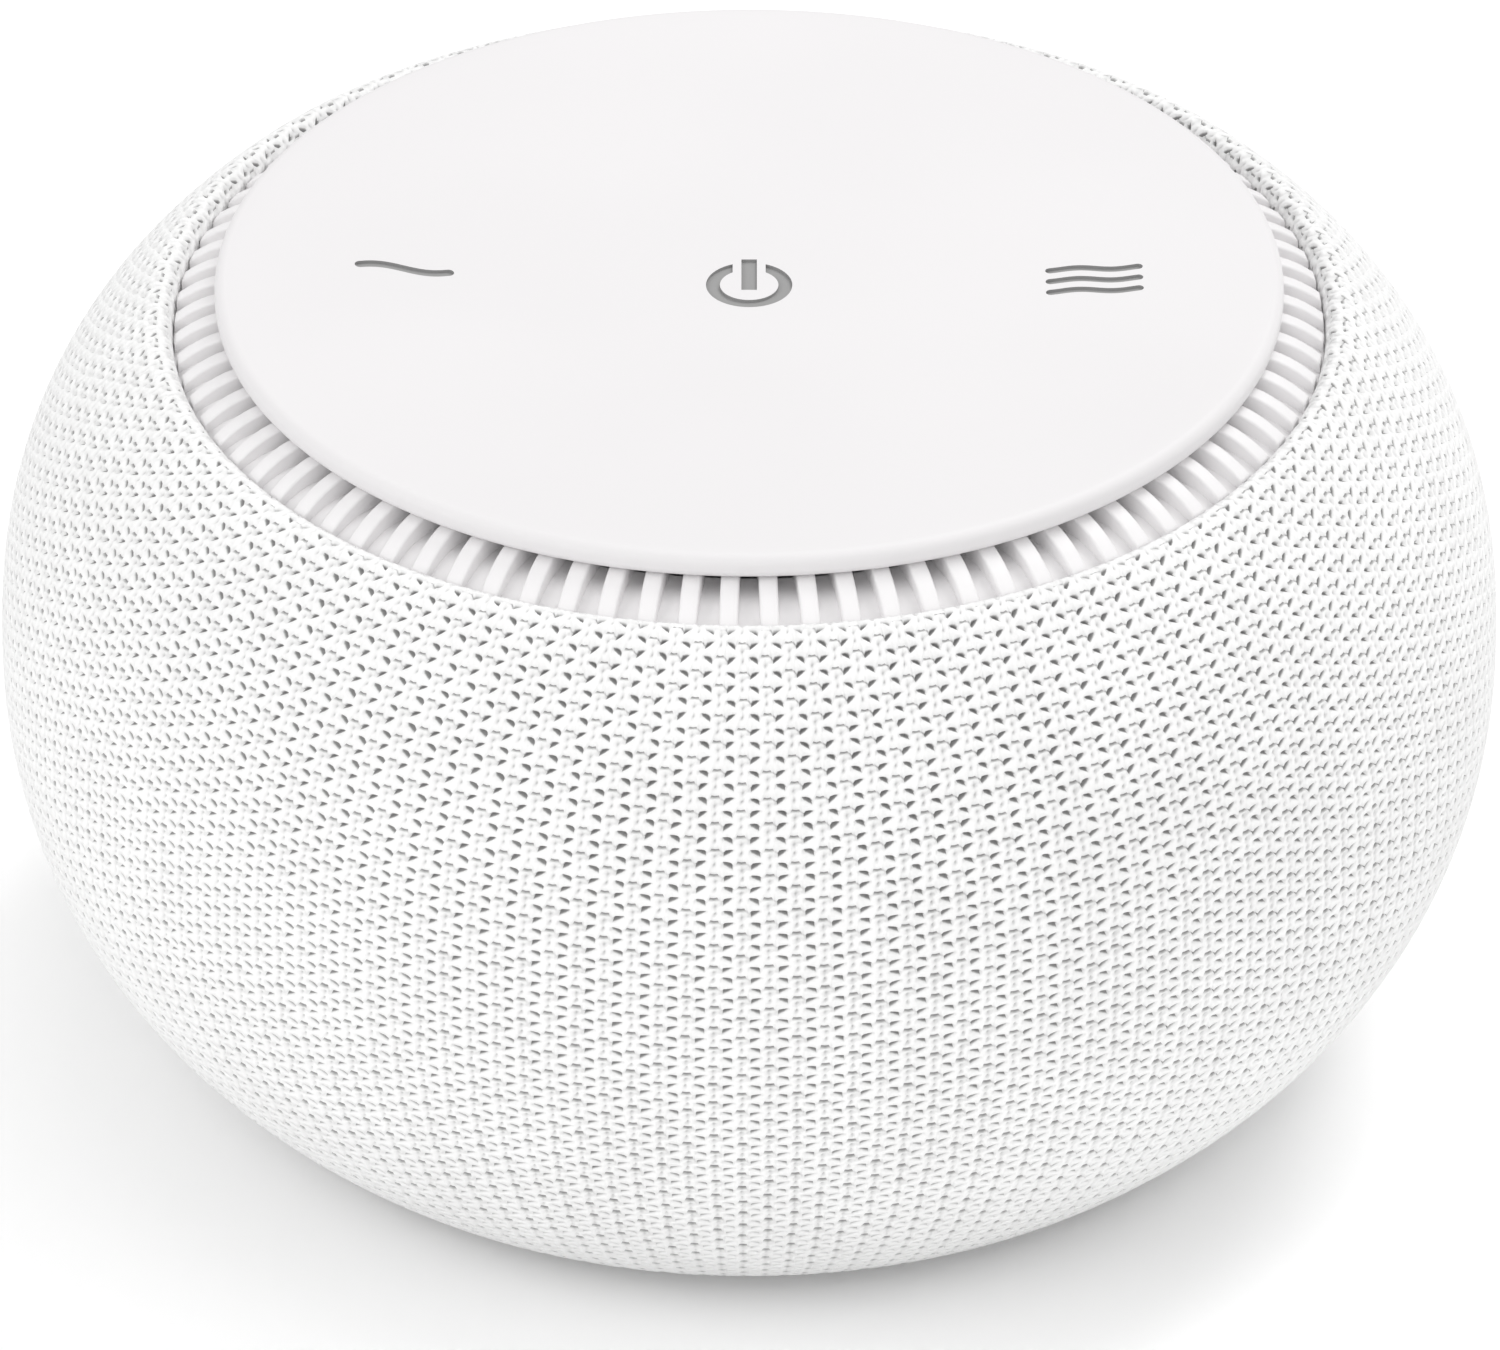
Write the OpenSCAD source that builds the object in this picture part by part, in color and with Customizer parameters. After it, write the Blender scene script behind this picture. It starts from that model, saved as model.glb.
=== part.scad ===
// White noise sound machine: a motor-driven fan in a ported drum, under a touch plate with a ribbed
// grille ring. The knit-covered shell around it turns by hand and opens or closes the drum's ports.
// Millimetres. +Z is up, the origin is the centre of the feet's resting plane, and -Y is the front.

/* [Shell] */
// Widest diameter of the fabric-covered shell
body_d = 142; // [138:1:150]
// Height of the widest line above the table
equator_h = 41.8; // [40:0.1:44]
// Height of the upper half's curve, were it to close at the top
upper_rise = 50.3; // [48:0.1:54]
// Roundness of the upper half, where 2 is an ellipse
upper_exp = 2.4; // [2.2:0.05:2.6]
// Depth below the table at which the lower half's curve would close
close_depth = 13.2; // [11:0.1:16]
// Roundness of the lower half, where 2 is an ellipse
lower_exp = 2.1; // [2:0.05:2.3]
// Thickness of the knitted cover
fabric_t = 1.4; // [1:0.1:1.8]
// Wall of the hard shell under the cover
carrier_t = 2; // [1.6:0.1:2.4]
// Height of the cover's hem above the table
hem_h = 3; // [2.5:0.1:4]
// Windows in each tier of the hard shell
window_n = 20; // [12:1:24]
// Width of a window
window_w = 11; // [8:0.5:13]
// Hard shell left between the tiers, and above and below them
window_bar = 6; // [4:0.5:8]

/* [Top] */
// Diameter of the touch plate
plate_d = 100; // [96:1:102]
// Thickness of the touch plate at its rim
plate_t = 2.4; // [2:0.1:3]
// Radius of the plate's upper edge
plate_edge = 1; // [0.6:0.1:1.4]
// Radius of the plate's lower edge
plate_low_edge = 0.9; // [0.5:0.1:1]
// Depth of the plate's dish at its centre
plate_dish = 1.4; // [0.6:0.1:1.6]
// Depth of the engraved marks
mark_depth = 0.5; // [0.3:0.05:0.6]
// Thickness of the grey inlay in the marks
inlay_t = 0.2; // [0.1:0.05:0.25]
// Distance from the plate's centre to each side mark
mark_x = 32.3; // [26:0.1:34]
// Number of ribs round the grille ring
rib_n = 90; // [60:1:100]
// Thickness of a rib
rib_t = 1.7; // [1.2:0.1:1.9]
// Length of rib that shows between plate and cover
rib_show = 4; // [3:0.1:5]
// Fall of a rib's top from under the plate to the cover
rib_fall = 2.5; // [1.5:0.1:3]
// Height of a rib above the ring's floor, under the plate's rim
rib_in_h = 1.7; // [1.4:0.1:2]
// Height of a rib's outer end above the ring's floor
rib_end_h = 0.8; // [0.6:0.1:1.1]
// Width of the ring's closed floor under the ribs' outer ends
floor_w = 6.2; // [5.5:0.1:7]
// Length of the open slots inside the floor
slot_len = 5.5; // [4:0.5:7]
// Thickness of the touch board
touch_board_t = 1.2; // [1:0.1:1.6]

/* [Drum] */
// Width of the ledge that the shell turns on
ledge_w = 4.5; // [4.2:0.1:5]
// Wall of the drum
drum_t = 2; // [1.6:0.1:2.4]
// Number of sound ports
port_n = 8; // [6:1:10]
// Angle that one port spans
port_angle = 20; // [12:1:21]
// Height of the ports
port_h = 26; // [20:1:28]
// Wall of the shutter ring
shutter_t = 1.6; // [1.2:0.1:1.8]
// Radial gap between turning and fixed pieces
turn_gap = 0.5; // [0.3:0.05:0.6]
// Height of the rotation stop on the shell
stop_h = 1.8; // [1.2:0.1:1.8]
// Angle that the rotation stop spans
stop_angle = 5; // [3:1:8]

/* [Base] */
// Clear height under the base
base_lift = 2; // [1.5:0.1:2.5]
// Thickness of the base
base_t = 2.4; // [2:0.1:3]
// Diameter of a rubber foot
foot_d = 10; // [8:0.5:12]
// Distance from the base's edge in to each foot's centre
foot_inset = 9.4; // [7:0.2:12]
// Depth of the seat that a foot is glued in
foot_seat = 0.8; // [0.5:0.1:1]
// Width of the pocket that takes the supply plug
pocket_w = 12; // [11:0.5:13]
// Length of the pocket
pocket_len = 14; // [12:0.5:15]
// Height of the pocket's ceiling above the table
pocket_h = 13.4; // [13:0.1:14.5]
// Width of the lead's way out of the pocket
lead_way_w = 8; // [6:0.5:9]
// Height of the lead's way out above the table
lead_way_h = 3.2; // [3:0.1:3.4]
// Radius of the inlet's bore
jack_bore_r = 2.8; // [2.7:0.05:3.2]
// Radius of the inlet's centre contact
jack_pin_r = 1; // [0.6:0.05:1.2]

/* [Motor] */
// Distance from the drum's wall in to the centre of each motor post
post_inset = 10.4; // [9:0.2:11]
// Height of the motor posts' tops above the table
post_h = 24; // [22:0.5:25]
// Diameter of a motor post
post_d = 7.2; // [6:0.1:8]
// Thickness of the motor's carrier plate
mount_t = 2; // [1.5:0.1:2.5]
// Diameter of the shaft
shaft_d = 3; // [2.5:0.1:3.2]
// Running clearance of the shaft in its bearings
shaft_gap = 0.04; // [0.02:0.01:0.08]
// Outer diameter of the bearings
bearing_d = 8; // [7:0.5:8.5]
// Wall of the tube that holds the bearings
tube_t = 1; // [0.8:0.1:1.2]
// Diameter of the stator
stator_d = 27.2; // [26:0.2:29]
// Height of the stator's core
stator_h = 8; // [6:0.5:9]
// Number of stator teeth
tooth_n = 9; // [6:1:9]
// Air gap between stator and magnet
air_gap = 0.5; // [0.4:0.05:0.7]
// Thickness of the ring magnet
magnet_t = 1.8; // [1.4:0.1:2.2]
// Wall of the rotor cup
cup_t = 1; // [0.8:0.1:1.2]
// Number of fan blades
blade_n = 11; // [7:1:15]
// Height of the fan blades
blade_h = 16; // [12:0.5:17]
// Gap between the fan and the drum's wall
fan_gap = 5; // [4.5:0.1:6]

/* [Circuit board] */
// Clearance of the main board to the motor posts
board_gap = 2.1; // [1.5:0.1:3.5]
// Thickness of the main board
board_t = 1.6; // [1.2:0.1:2]
// Width of the flat leads
lead_w = 5; // [4:0.5:6]
// Thickness of the flat leads
lead_t = 0.8; // [0.6:0.1:1]

/* [Hidden] */
$fn = 96;

eps = 0.02;              // overlap of a cutter with open air
seat = 0.1;              // gap between pieces of one body that sit on each other
skin_seat = 0.15;        // gap between the cover and what it is stretched over
profile_steps = 30;      // stretches in the shell's outline
dish_steps = 24;         // stretches in the plate's dish
rib_steps = 6;           // stretches in a rib's fall
floor_steps = 4;         // stretches in the fall of the floor between the ribs
arc_step = 10;           // degrees between points on small rounded edges
screw_r = 1.2;           // shank of the screws
head_r = 2.4;            // head of the screws
head_h = 1.5;
cross_len = 3;           // cross recess in a screw's head
cross_w = 0.6;
cross_depth = 0.6;
thread_gap = 0.05;       // gap round a shank in its thread
boss_r = 3.2;            // boss round a threaded hole

lower_drop = equator_h + close_depth;

// The shell's outline: radius at a height, and height of the upper half at a radius, both for a
// surface that lies inset below the cover's outer face
function shell_exp(z) = z > equator_h ? upper_exp : lower_exp;
function shell_span(z) = z > equator_h ? upper_rise : lower_drop;
function shell_r(z, inset) = (body_d / 2 - inset)
    * pow(max(0, 1 - pow(abs(z - equator_h) / (shell_span(z) - inset), shell_exp(z))), 1 / shell_exp(z));
function shell_z(r, inset) = equator_h + (upper_rise - inset)
    * pow(1 - pow(r / (body_d / 2 - inset), upper_exp), 1 / upper_exp);
function shell_lean(z) = atan2(shell_r(z - eps, 0) - shell_r(z + eps, 0), 2 * eps);

// The same outline by its own angle, which spaces the points evenly along it
function shell_angle(z, inset) = sign(z - equator_h)
    * asin(min(1, pow(abs(z - equator_h) / (shell_span(z) - inset), shell_exp(z) / 2)));
function shell_point(a, inset) =
    let (exp = a > 0 ? upper_exp : lower_exp, span = a > 0 ? upper_rise : lower_drop)
    [(body_d / 2 - inset) * pow(cos(a), 2 / exp),
        equator_h + sign(a) * (span - inset) * pow(abs(sin(a)), 2 / exp)];
function shell_path(z_from, z_to, inset) =
    let (a = shell_angle(z_from, inset), b = shell_angle(z_to, inset))
    [for (i = [0 : profile_steps]) shell_point(a + (b - a) * i / profile_steps, inset)];

function arc(cx, cy, r, a_from, a_to) =
    let (n = max(2, ceil(abs(a_to - a_from) / arc_step)))
    [for (i = [0 : n]) let (a = a_from + (a_to - a_from) * i / n) [cx + r * cos(a), cy + r * sin(a)]];

// Cover's lip and hem, both rolled round a trim ring
roll_r = fabric_t + seat;
plate_r = plate_d / 2;
lip_r = plate_r + rib_show;
lip_c_r = lip_r + roll_r;
lip_c_z = shell_z(lip_c_r, roll_r);
lip_lean = shell_lean(lip_c_z + roll_r * 0.75);
lip_tuck_h = 2.2;          // length of cover tucked down inside the lip
lip_tuck_z = lip_c_z - lip_tuck_h;
hem_c_z = hem_h + roll_r;
hem_c_r = shell_r(hem_c_z, roll_r);
hem_lean = shell_lean(hem_c_z - roll_r * 0.75);
hem_flat_w = 2;
base_r = hem_c_r - hem_flat_w - turn_gap;
foot_ring_r = base_r - foot_inset;

// Stack of the base and of what turns on it
base_top = base_lift + base_t;
ledge_top = base_top + 1.5;
slide_t = 0.5;
floor_z = ledge_top + slide_t + seat;
carrier_floor_t = 2.2;
carrier_in = fabric_t + skin_seat + carrier_t;
carrier_floor_top = floor_z + carrier_floor_t;
drum_r = base_r - ledge_w;
drum_in_r = drum_r - drum_t;
post_ring_r = drum_in_r - post_inset;
ledge_in_r = drum_r + 0.4;
shutter_in_r = drum_r + turn_gap;
shutter_r = shutter_in_r + shutter_t;
shutter_flange_z = carrier_floor_top + seat;
shutter_flange_t = 1.5;
shutter_flange_r = shell_r(carrier_floor_top, carrier_in) - 0.6;
shutter_screw_r = (shutter_r + shutter_flange_r) / 2;
shutter_screw_n = 4;
shutter_screw_turn = 22.5;
shutter_screw_len = 3;
stop_r = shutter_in_r + 1.6;
stop_gap = 0.3;
turn_range = 180 / port_n;
port_z = post_h;
shutter_top = port_z + port_h + 8;

// Stack of the top, hung from the cover's lip
grille_r = lip_r - 0.3;
rib_end_r = grille_r - 0.1;
rib_end_z = lip_c_z + 0.5;
rib_top_z = rib_end_z + rib_fall;
rib_flat_r = plate_r - 2;
rib_under_z = rib_end_z - rib_end_h - 1;
ring_floor_z = rib_end_z - rib_end_h;
ring_floor_t = 2;
ring_under_z = ring_floor_z - ring_floor_t;
ring_seat_w = 1.8;
slot_r = grille_r - floor_w;
ring_in_r = slot_r - slot_len;
ring_hub_r = ring_in_r - 1.5;
plate_under = rib_top_z + seat;
plate_top = plate_under + plate_t;
dish_r = plate_r - plate_edge;
skirt_h = 2;
skirt_t = 1.6;
tab_in_r = ring_hub_r - 6.5;
tab_t = 1.6;
drum_rim_z = ring_under_z - 2;
grille_screw_r = ring_hub_r - boss_r - 0.3;
trim_in_r = lip_r + fabric_t + skin_seat;
trim_gap = 0.3;            // from the ring inside the lip out to the hard shell's inner edge
carrier_top = shell_z(trim_in_r + trim_gap, carrier_in);
plate_wall = 1.7;          // thickness of the plate under its dish
touch_board_z = plate_top - plate_dish - plate_wall - touch_board_t - seat;
tab_z = touch_board_z - 0.3 - head_h - tab_t;
cable_x = min(drum_in_r - 2, ring_hub_r - 0.2);

// Quarter points, where the feet, the tabs and the grille screws are, and the screws near them
quarter_angles = [45, 135, 225, 315];
base_screw_angles = [20, 160, 200, 340];
pad_r = 2.6;             // pads under the drum's bosses
pad_h = 2;
base_screw_r = drum_in_r - pad_r - seat;
drum_foot_h = 8;
screw_len = 8;
post_angles = [30, 150, 270];

// Plug pocket at the back, with the inlet behind its inner wall
pocket_wall = 1.6;
pocket_back = sqrt(pow(drum_in_r - 0.3, 2) - pow(pocket_w / 2 + pocket_wall, 2)) - pocket_wall;
pocket_front = pocket_back - pocket_len;
jack_face = pocket_front - pocket_wall;
jack_len = 13;
jack_w = 9;
jack_h = 8;
jack_z = base_top + jack_h / 2;
jack_nose_r = 3.9;
jack_bore_len = 10;

// Main board over the inlet
board_z = base_top + jack_h + seat;
board_top = board_z + board_t;
board_back = jack_face - 0.3;
board_w = 2 * (post_ring_r * cos(post_angles[0]) - post_d / 2 - board_gap);
board_front = post_d / 2 + board_gap - post_ring_r;
board_len = board_back - board_front;
board_hole_in = 3;
pillar_r = 2.4;
socket_h = 4;
socket_l = 6;
socket_x = board_w / 2 - socket_l / 2 - 1;
board_screw_len = 5;
cap_r = 3.6;             // capacitors
cap_h = 8;
cap_rim = 0.7;
cap_back = 9;            // from the board's back edge to the supply's parts
cap_x = [-8.2, -0.2];
coil_x = 7.6;            // the supply's inductor
coil_w = 7;
coil_h = 4;
chip_x = [-4, 9];
chip_front = [15, 12];
chip_w = [6, 4];
chip_len = [10, 5];
chip_legs = [7, 4];

// Motor, stacked on its carrier plate
bobbin_flange = 2;
mount_z = post_h + bobbin_flange;
mount_top = mount_z + mount_t;
bobbin_top = mount_top + bobbin_flange;
lead_x = socket_x - 0.2;  // the motor's lead, just clear of its carrier plate's hub
mount_hub_r = lead_x - 0.8;
tube_r = bearing_d / 2 + tube_t;
tube_flange_r = 8;
tube_flange_t = 1.5;
coil_over = 1.2;
motor_board_z = mount_top + tube_flange_t + seat;
motor_board_t = 1.2;
stator_z = motor_board_z + motor_board_t + coil_over + 0.6;
stator_top = stator_z + stator_h;
stator_r = stator_d / 2;
shoe_t = 1.4;
tooth_w = 2.4;
core_r = tube_r + 2.5;
bearing_h = 4;
tube_top = stator_top + 1;
cup_in_r = stator_r + air_gap + magnet_t + seat;
cup_r = cup_in_r + cup_t;
cup_z = stator_z - 1;
cup_roof_z = tube_top + 1;
cup_top = cup_roof_z + cup_t;
shaft_r = shaft_d / 2;
shaft_bottom = mount_z - 0.5;
shaft_top = cup_top + 1.5;
clip_t = 0.6;
clip_z = mount_top + 0.4;
bearing_low_z = clip_z + clip_t + 0.1;
fan_r = min(drum_in_r, cable_x + 2) - fan_gap;
fan_z = stator_z + 1.2;
fan_floor_t = 1.2;
fan_hub_r = cup_r + seat + 1.4;
fan_hub_top = cup_top + seat + 1.6;
blade_t = 1.2;
blade_in_r = fan_hub_r + 3;
blade_sweep = 38;        // angle that a blade runs back between its inner and outer end
blade_lean = 30;         // angle of a blade's thickness to the tangent

// ---- shared shapes ----

// Tube between two radii
module ring(r_in, r_out, z, h) {
    translate([0, 0, z]) difference() {
        cylinder(r = r_out, h = h);
        translate([0, 0, -1]) cylinder(r = r_in, h = h + 2);
    }
}

// Part of a ring that spans an angle
module sector(r_in, r_out, z, h, angle) {
    rotate([0, 0, -angle / 2]) rotate_extrude(angle = angle)
        translate([r_in, z]) square([r_out - r_in, h]);
}

// Copies at the given angles, at a radius
module at_angles(angles, r) {
    for (a = angles) rotate([0, 0, a]) translate([r, 0, 0]) children();
}

module round_copies(n, r, start = 0) {
    for (i = [0 : n - 1]) rotate([0, 0, start + i * 360 / n]) translate([r, 0, 0]) children();
}

// Cross-head screw, its head on the plane z and its shank downwards
module screw(z, len) {
    difference() {
        union() {
            translate([0, 0, z - len]) cylinder(r = screw_r, h = len + eps, $fn = 24);
            translate([0, 0, z]) cylinder(r = head_r, h = head_h, $fn = 32);
        }
        for (a = [0, 90]) rotate([0, 0, a])
            translate([-cross_len / 2, -cross_w / 2, z + head_h - cross_depth])
                cube([cross_len, cross_w, cross_depth + 1]);
    }
}

// Threaded hole from the plane z down
module thread(z, len) {
    translate([0, 0, z - len]) cylinder(r = screw_r + thread_gap, h = len + 1, $fn = 32);
}

// ---- top ----

function dish_z(r) = plate_top - plate_dish * (1 - pow(r / dish_r, 2));
function dish_path(r_from, r_to, drop) =
    [for (i = [0 : dish_steps]) let (r = r_from + (r_to - r_from) * i / dish_steps)
        [r, dish_z(r) - drop]];

// Layer of the dished face between two depths, out to a radius
module dish_layer(r, drop_top, drop_bottom) {
    rotate_extrude() polygon(concat(dish_path(0, r, drop_top), dish_path(r, 0, drop_bottom)));
}

power_r = 4.04;          // outer radius of the power mark's ring
power_stroke = 1.3;
power_open_w = 3.1;
power_bar_w = 1.45;
power_bar_y = [-0.9, 4.6];
wave_pitch = 1.95;
wave_half_len = 4.1;

// Outline of one wave stroke: crest_x is where it crests, half_period the run to its trough
function wave_y(x, amp, crest_x, half_period) = amp * cos(180 * (x - crest_x) / half_period);
function wave_outline(amp, crest_x, half_period, stroke) =
    let (n = 16, r = stroke / 2,
        line = [for (i = [0 : n]) let (x = -wave_half_len + 2 * wave_half_len * i / n)
            [x, wave_y(x, amp, crest_x, half_period)]])
    concat([for (p = line) [p[0], p[1] - r]],
        arc(line[n][0], line[n][1], r, -60, 60),
        [for (i = [n : -1 : 0]) [line[i][0], line[i][1] + r]],
        arc(line[0][0], line[0][1], r, 120, 240));

module power_mark() {
    difference() {
        circle(r = power_r, $fn = 64);
        circle(r = power_r - power_stroke, $fn = 64);
        translate([-power_open_w / 2, 0]) square([power_open_w, power_r + 1]);
    }
    translate([-power_bar_w / 2, power_bar_y[0]]) square([power_bar_w, power_bar_y[1] - power_bar_y[0]]);
}

module low_mark() {
    translate([-mark_x, wave_pitch]) polygon(wave_outline(0.71, -2.9, 5.7, 1.15));
}

module high_mark() {
    for (i = [-1 : 1]) translate([mark_x, i * wave_pitch]) polygon(wave_outline(0.22, -1.5, 3.3, 0.95));
}

// The three engraved marks between two depths below the dished face
module marks(drop_top, drop_bottom) {
    intersection() {
        translate([0, 0, plate_under - skirt_h]) linear_extrude(height = plate_t + skirt_h + 1) {
            power_mark();
            low_mark();
            high_mark();
        }
        dish_layer(mark_x + wave_half_len + 2, drop_top, drop_bottom);
    }
}

skirt_r = ring_hub_r - seat;

module touch_plate() {
    color([0.95, 0.945, 0.945]) difference() {
        rotate_extrude() polygon(concat(
            dish_path(0, dish_r, 0),
            arc(dish_r, plate_top - plate_edge, plate_edge, 75, 0),
            arc(plate_r - plate_low_edge, plate_under + plate_low_edge, plate_low_edge, 0, -90),
            [[skirt_r, plate_under], [skirt_r, plate_under - skirt_h],
                [skirt_r - skirt_t, plate_under - skirt_h], [skirt_r - skirt_t, plate_under],
                [skirt_r - skirt_t - 1, dish_z(skirt_r - skirt_t - 1) - plate_wall],
                [0, dish_z(0) - plate_wall]]));
        marks(-1, mark_depth);
    }
}

module icon_inlays() {
    color([0.68, 0.67, 0.67]) marks(mark_depth - inlay_t, mark_depth);
}

touch_board_r = skirt_r - skirt_t - 2;
touch_socket_x = min(touch_board_r, cable_x) - 3;
touch_socket_l = 5;
touch_socket_h = 2.6;

module touch_board() {
    color([0.1, 0.4, 0.25]) {
        ring(3, touch_board_r, touch_board_z, touch_board_t);
        for (x = [-1, 1]) translate([x * (mark_x - 4) - 3, -9, touch_board_z - 0.4]) cube([6, 4, 0.5]);
        translate([-touch_socket_x, -lead_w / 2 - 1, touch_board_z - touch_socket_h])
            cube([touch_socket_l, lead_w + 2, touch_socket_h + eps]);
    }
}

cable_in_z = touch_board_z - 1.8;
cable_out_z = board_top + socket_h / 2;

// Ribbon from the touch board's socket, down beside the drum's wall, to the main board's socket
module touch_cable() {
    top_end = -touch_socket_x - seat;
    low_end = -socket_x - socket_l / 2 - seat;
    color([0.9, 0.9, 0.88]) translate([0, lead_w / 2, 0]) rotate([90, 0, 0])
        linear_extrude(height = lead_w) polygon([
            [top_end, cable_in_z + lead_t], [-cable_x, cable_in_z + lead_t],
            [-cable_x, cable_out_z - lead_t], [low_end, cable_out_z - lead_t],
            [low_end, cable_out_z], [-cable_x + lead_t, cable_out_z],
            [-cable_x + lead_t, cable_in_z], [top_end, cable_in_z]]);
}

function rib_z(r) = r < rib_flat_r ? rib_top_z
    : rib_top_z - rib_fall * pow((r - rib_flat_r) / (grille_r - rib_flat_r), 2);

// Floor between the ribs, which falls outwards with their tops
function floor_z_at(r) = rib_z(r) - rib_in_h
    + (rib_in_h - rib_end_h) * max(0, r - rib_flat_r) / (grille_r - rib_flat_r);
function floor_path(r_from, r_to, drop) =
    [for (i = [0 : floor_steps]) let (r = r_from + (r_to - r_from) * i / floor_steps)
        [r, floor_z_at(r) - drop]];

// One rib, standing along +X
module rib() {
    translate([0, rib_t / 2, 0]) rotate([90, 0, 0]) linear_extrude(height = rib_t)
        polygon(concat([[ring_in_r - 0.5, rib_under_z], [ring_in_r - 0.5, rib_top_z]],
            [for (i = [0 : rib_steps])
                let (r = rib_flat_r + (rib_end_r - rib_flat_r) * i / rib_steps) [r, rib_z(r)]],
            [[rib_end_r, rib_under_z]]));
}

module grille_ring() {
    color([0.93, 0.93, 0.93]) difference() {
        union() {
            ring(ring_hub_r, ring_in_r, ring_under_z, plate_under - ring_under_z);
            rotate_extrude() polygon(concat(floor_path(slot_r, grille_r, 0),
                floor_path(grille_r, slot_r, ring_floor_t)));
            ring(grille_r - ring_seat_w, grille_r, drum_rim_z, ring_floor_z - drum_rim_z);
            round_copies(rib_n, 0) rib();
            at_angles(quarter_angles, 0) translate([tab_in_r, -4, tab_z])
                cube([ring_in_r - 0.5 - tab_in_r, 8, tab_t]);
        }
        at_angles(quarter_angles, grille_screw_r) translate([0, 0, tab_z - 1])
            cylinder(r = screw_r + seat, h = tab_t + 2, $fn = 32);
    }
}

module grille_screws() {
    color("silver") at_angles(quarter_angles, grille_screw_r) screw(tab_z + tab_t, screw_len);
}

// ---- drum and base ----

flare_z = shutter_top + 2;
drum_flare_in = grille_r - ring_seat_w;
flare_top_z = drum_rim_z - 1.4;
flare_drop = 0.8;        // the wall's own thickness, measured upwards in the flare

module sound_drum() {
    top = drum_rim_z - seat;
    color([0.85, 0.85, 0.86]) difference() {
        union() {
            rotate_extrude() polygon([
                [drum_in_r, base_top + seat], [drum_r, base_top + seat], [drum_r, flare_z],
                [grille_r, flare_top_z], [grille_r, top], [drum_flare_in, top],
                [drum_flare_in, flare_top_z + flare_drop], [drum_in_r, flare_z + flare_drop]]);
            // Bosses for the base screws, and posts with webs for the grille screws
            at_angles(base_screw_angles, base_screw_r) translate([0, 0, base_top + pad_h + seat])
                cylinder(r = boss_r, h = drum_foot_h, $fn = 32);
            at_angles(quarter_angles, 0) {
                translate([grille_screw_r, 0, flare_z - 2])
                    cylinder(r = boss_r, h = tab_z - seat - flare_z + 2, $fn = 32);
                translate([0, 1.2, 0]) rotate([90, 0, 0]) linear_extrude(height = 2.4) polygon([
                    [grille_screw_r, flare_z - 2], [drum_in_r + 0.5, flare_z - 2],
                    [drum_in_r + 0.5, flare_z + flare_drop],
                    [drum_flare_in + 0.5, flare_top_z + flare_drop],
                    [drum_flare_in + 0.5, top - 0.5], [grille_screw_r, top - 0.5]]);
            }
        }
        at_angles([for (i = [0 : port_n - 1]) (i + 0.5) * 360 / port_n], 0)
            sector(drum_in_r - 1, drum_r + 1, port_z, port_h, port_angle);
        at_angles(base_screw_angles, base_screw_r) thread(base_top + drum_foot_h, drum_foot_h);
        at_angles(quarter_angles, grille_screw_r) thread(tab_z, screw_len + 1);
    }
}

screw_sink = 1.8;        // depth that the base screws' heads are sunk
post_hole_len = screw_len + 2;
pillar_hole_len = board_screw_len + 1;

module at_board_corners() {
    for (x = [-1, 1], y = [board_front + board_hole_in, board_back - board_hole_in])
        translate([x * (board_w / 2 - board_hole_in), y, 0]) children();
}

module base_plate() {
    color([0.9, 0.9, 0.9]) difference() {
        union() {
            translate([0, 0, base_lift]) cylinder(r = base_r, h = base_t);
            ring(ledge_in_r, base_r, base_top - eps, ledge_top - base_top + eps);
            at_angles(post_angles, post_ring_r) translate([0, 0, base_top - eps])
                cylinder(r = post_d / 2, h = post_h - base_top + eps, $fn = 48);
            at_angles(base_screw_angles, base_screw_r) translate([0, 0, base_top - eps])
                cylinder(r = pad_r, h = pad_h + eps, $fn = 32);
            at_board_corners() translate([0, 0, base_top - eps])
                cylinder(r = pillar_r, h = board_z - base_top + eps, $fn = 32);
            translate([-pocket_w / 2 - pocket_wall, pocket_front - pocket_wall, base_lift])
                cube([pocket_w + 2 * pocket_wall, pocket_len + 2 * pocket_wall,
                    pocket_h + pocket_wall - base_lift]);
        }
        // Plug pocket, the inlet's hole in its inner wall, and the lead's way out to the back
        translate([-pocket_w / 2, pocket_front, base_lift - 1])
            cube([pocket_w, pocket_len, pocket_h - base_lift + 1]);
        translate([0, pocket_front + 1, jack_z]) rotate([90, 0, 0])
            cylinder(r = jack_nose_r + seat, h = pocket_wall + 2, $fn = 48);
        translate([-lead_way_w / 2, pocket_back - 1, base_lift - 1])
            cube([lead_way_w, base_r, lead_way_h - base_lift + 1]);
        // Seats of the feet, and sunk holes of the base screws
        at_angles(quarter_angles, foot_ring_r) translate([0, 0, base_lift - 1])
            cylinder(r = foot_d / 2 + seat, h = foot_seat + 1, $fn = 48);
        at_angles(base_screw_angles, base_screw_r) {
            translate([0, 0, base_lift - 1]) cylinder(r = head_r + 0.3, h = screw_sink + 1, $fn = 32);
            translate([0, 0, base_lift]) cylinder(r = screw_r + seat, h = base_t + pad_h + 1, $fn = 32);
        }
        // Threaded holes of the motor posts and of the board's pillars
        at_angles(post_angles, post_ring_r) thread(post_h, post_hole_len);
        at_board_corners() thread(board_z, pillar_hole_len);
        // Arc that the shell's rotation stop runs in
        rotate([0, 0, turn_range / 2]) sector(ledge_in_r - 0.2, stop_r + turn_gap,
            floor_z - stop_h - seat, stop_h + 1, turn_range + stop_angle + 2 * stop_gap);
    }
}

module rubber_feet() {
    color([0.3, 0.3, 0.3]) at_angles(quarter_angles, foot_ring_r)
        rotate_extrude($fn = 48) polygon([[0, 0], [foot_d / 2 - 0.5, 0], [foot_d / 2, 0.5],
            [foot_d / 2, base_lift + foot_seat - seat], [0, base_lift + foot_seat - seat]]);
}

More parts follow.
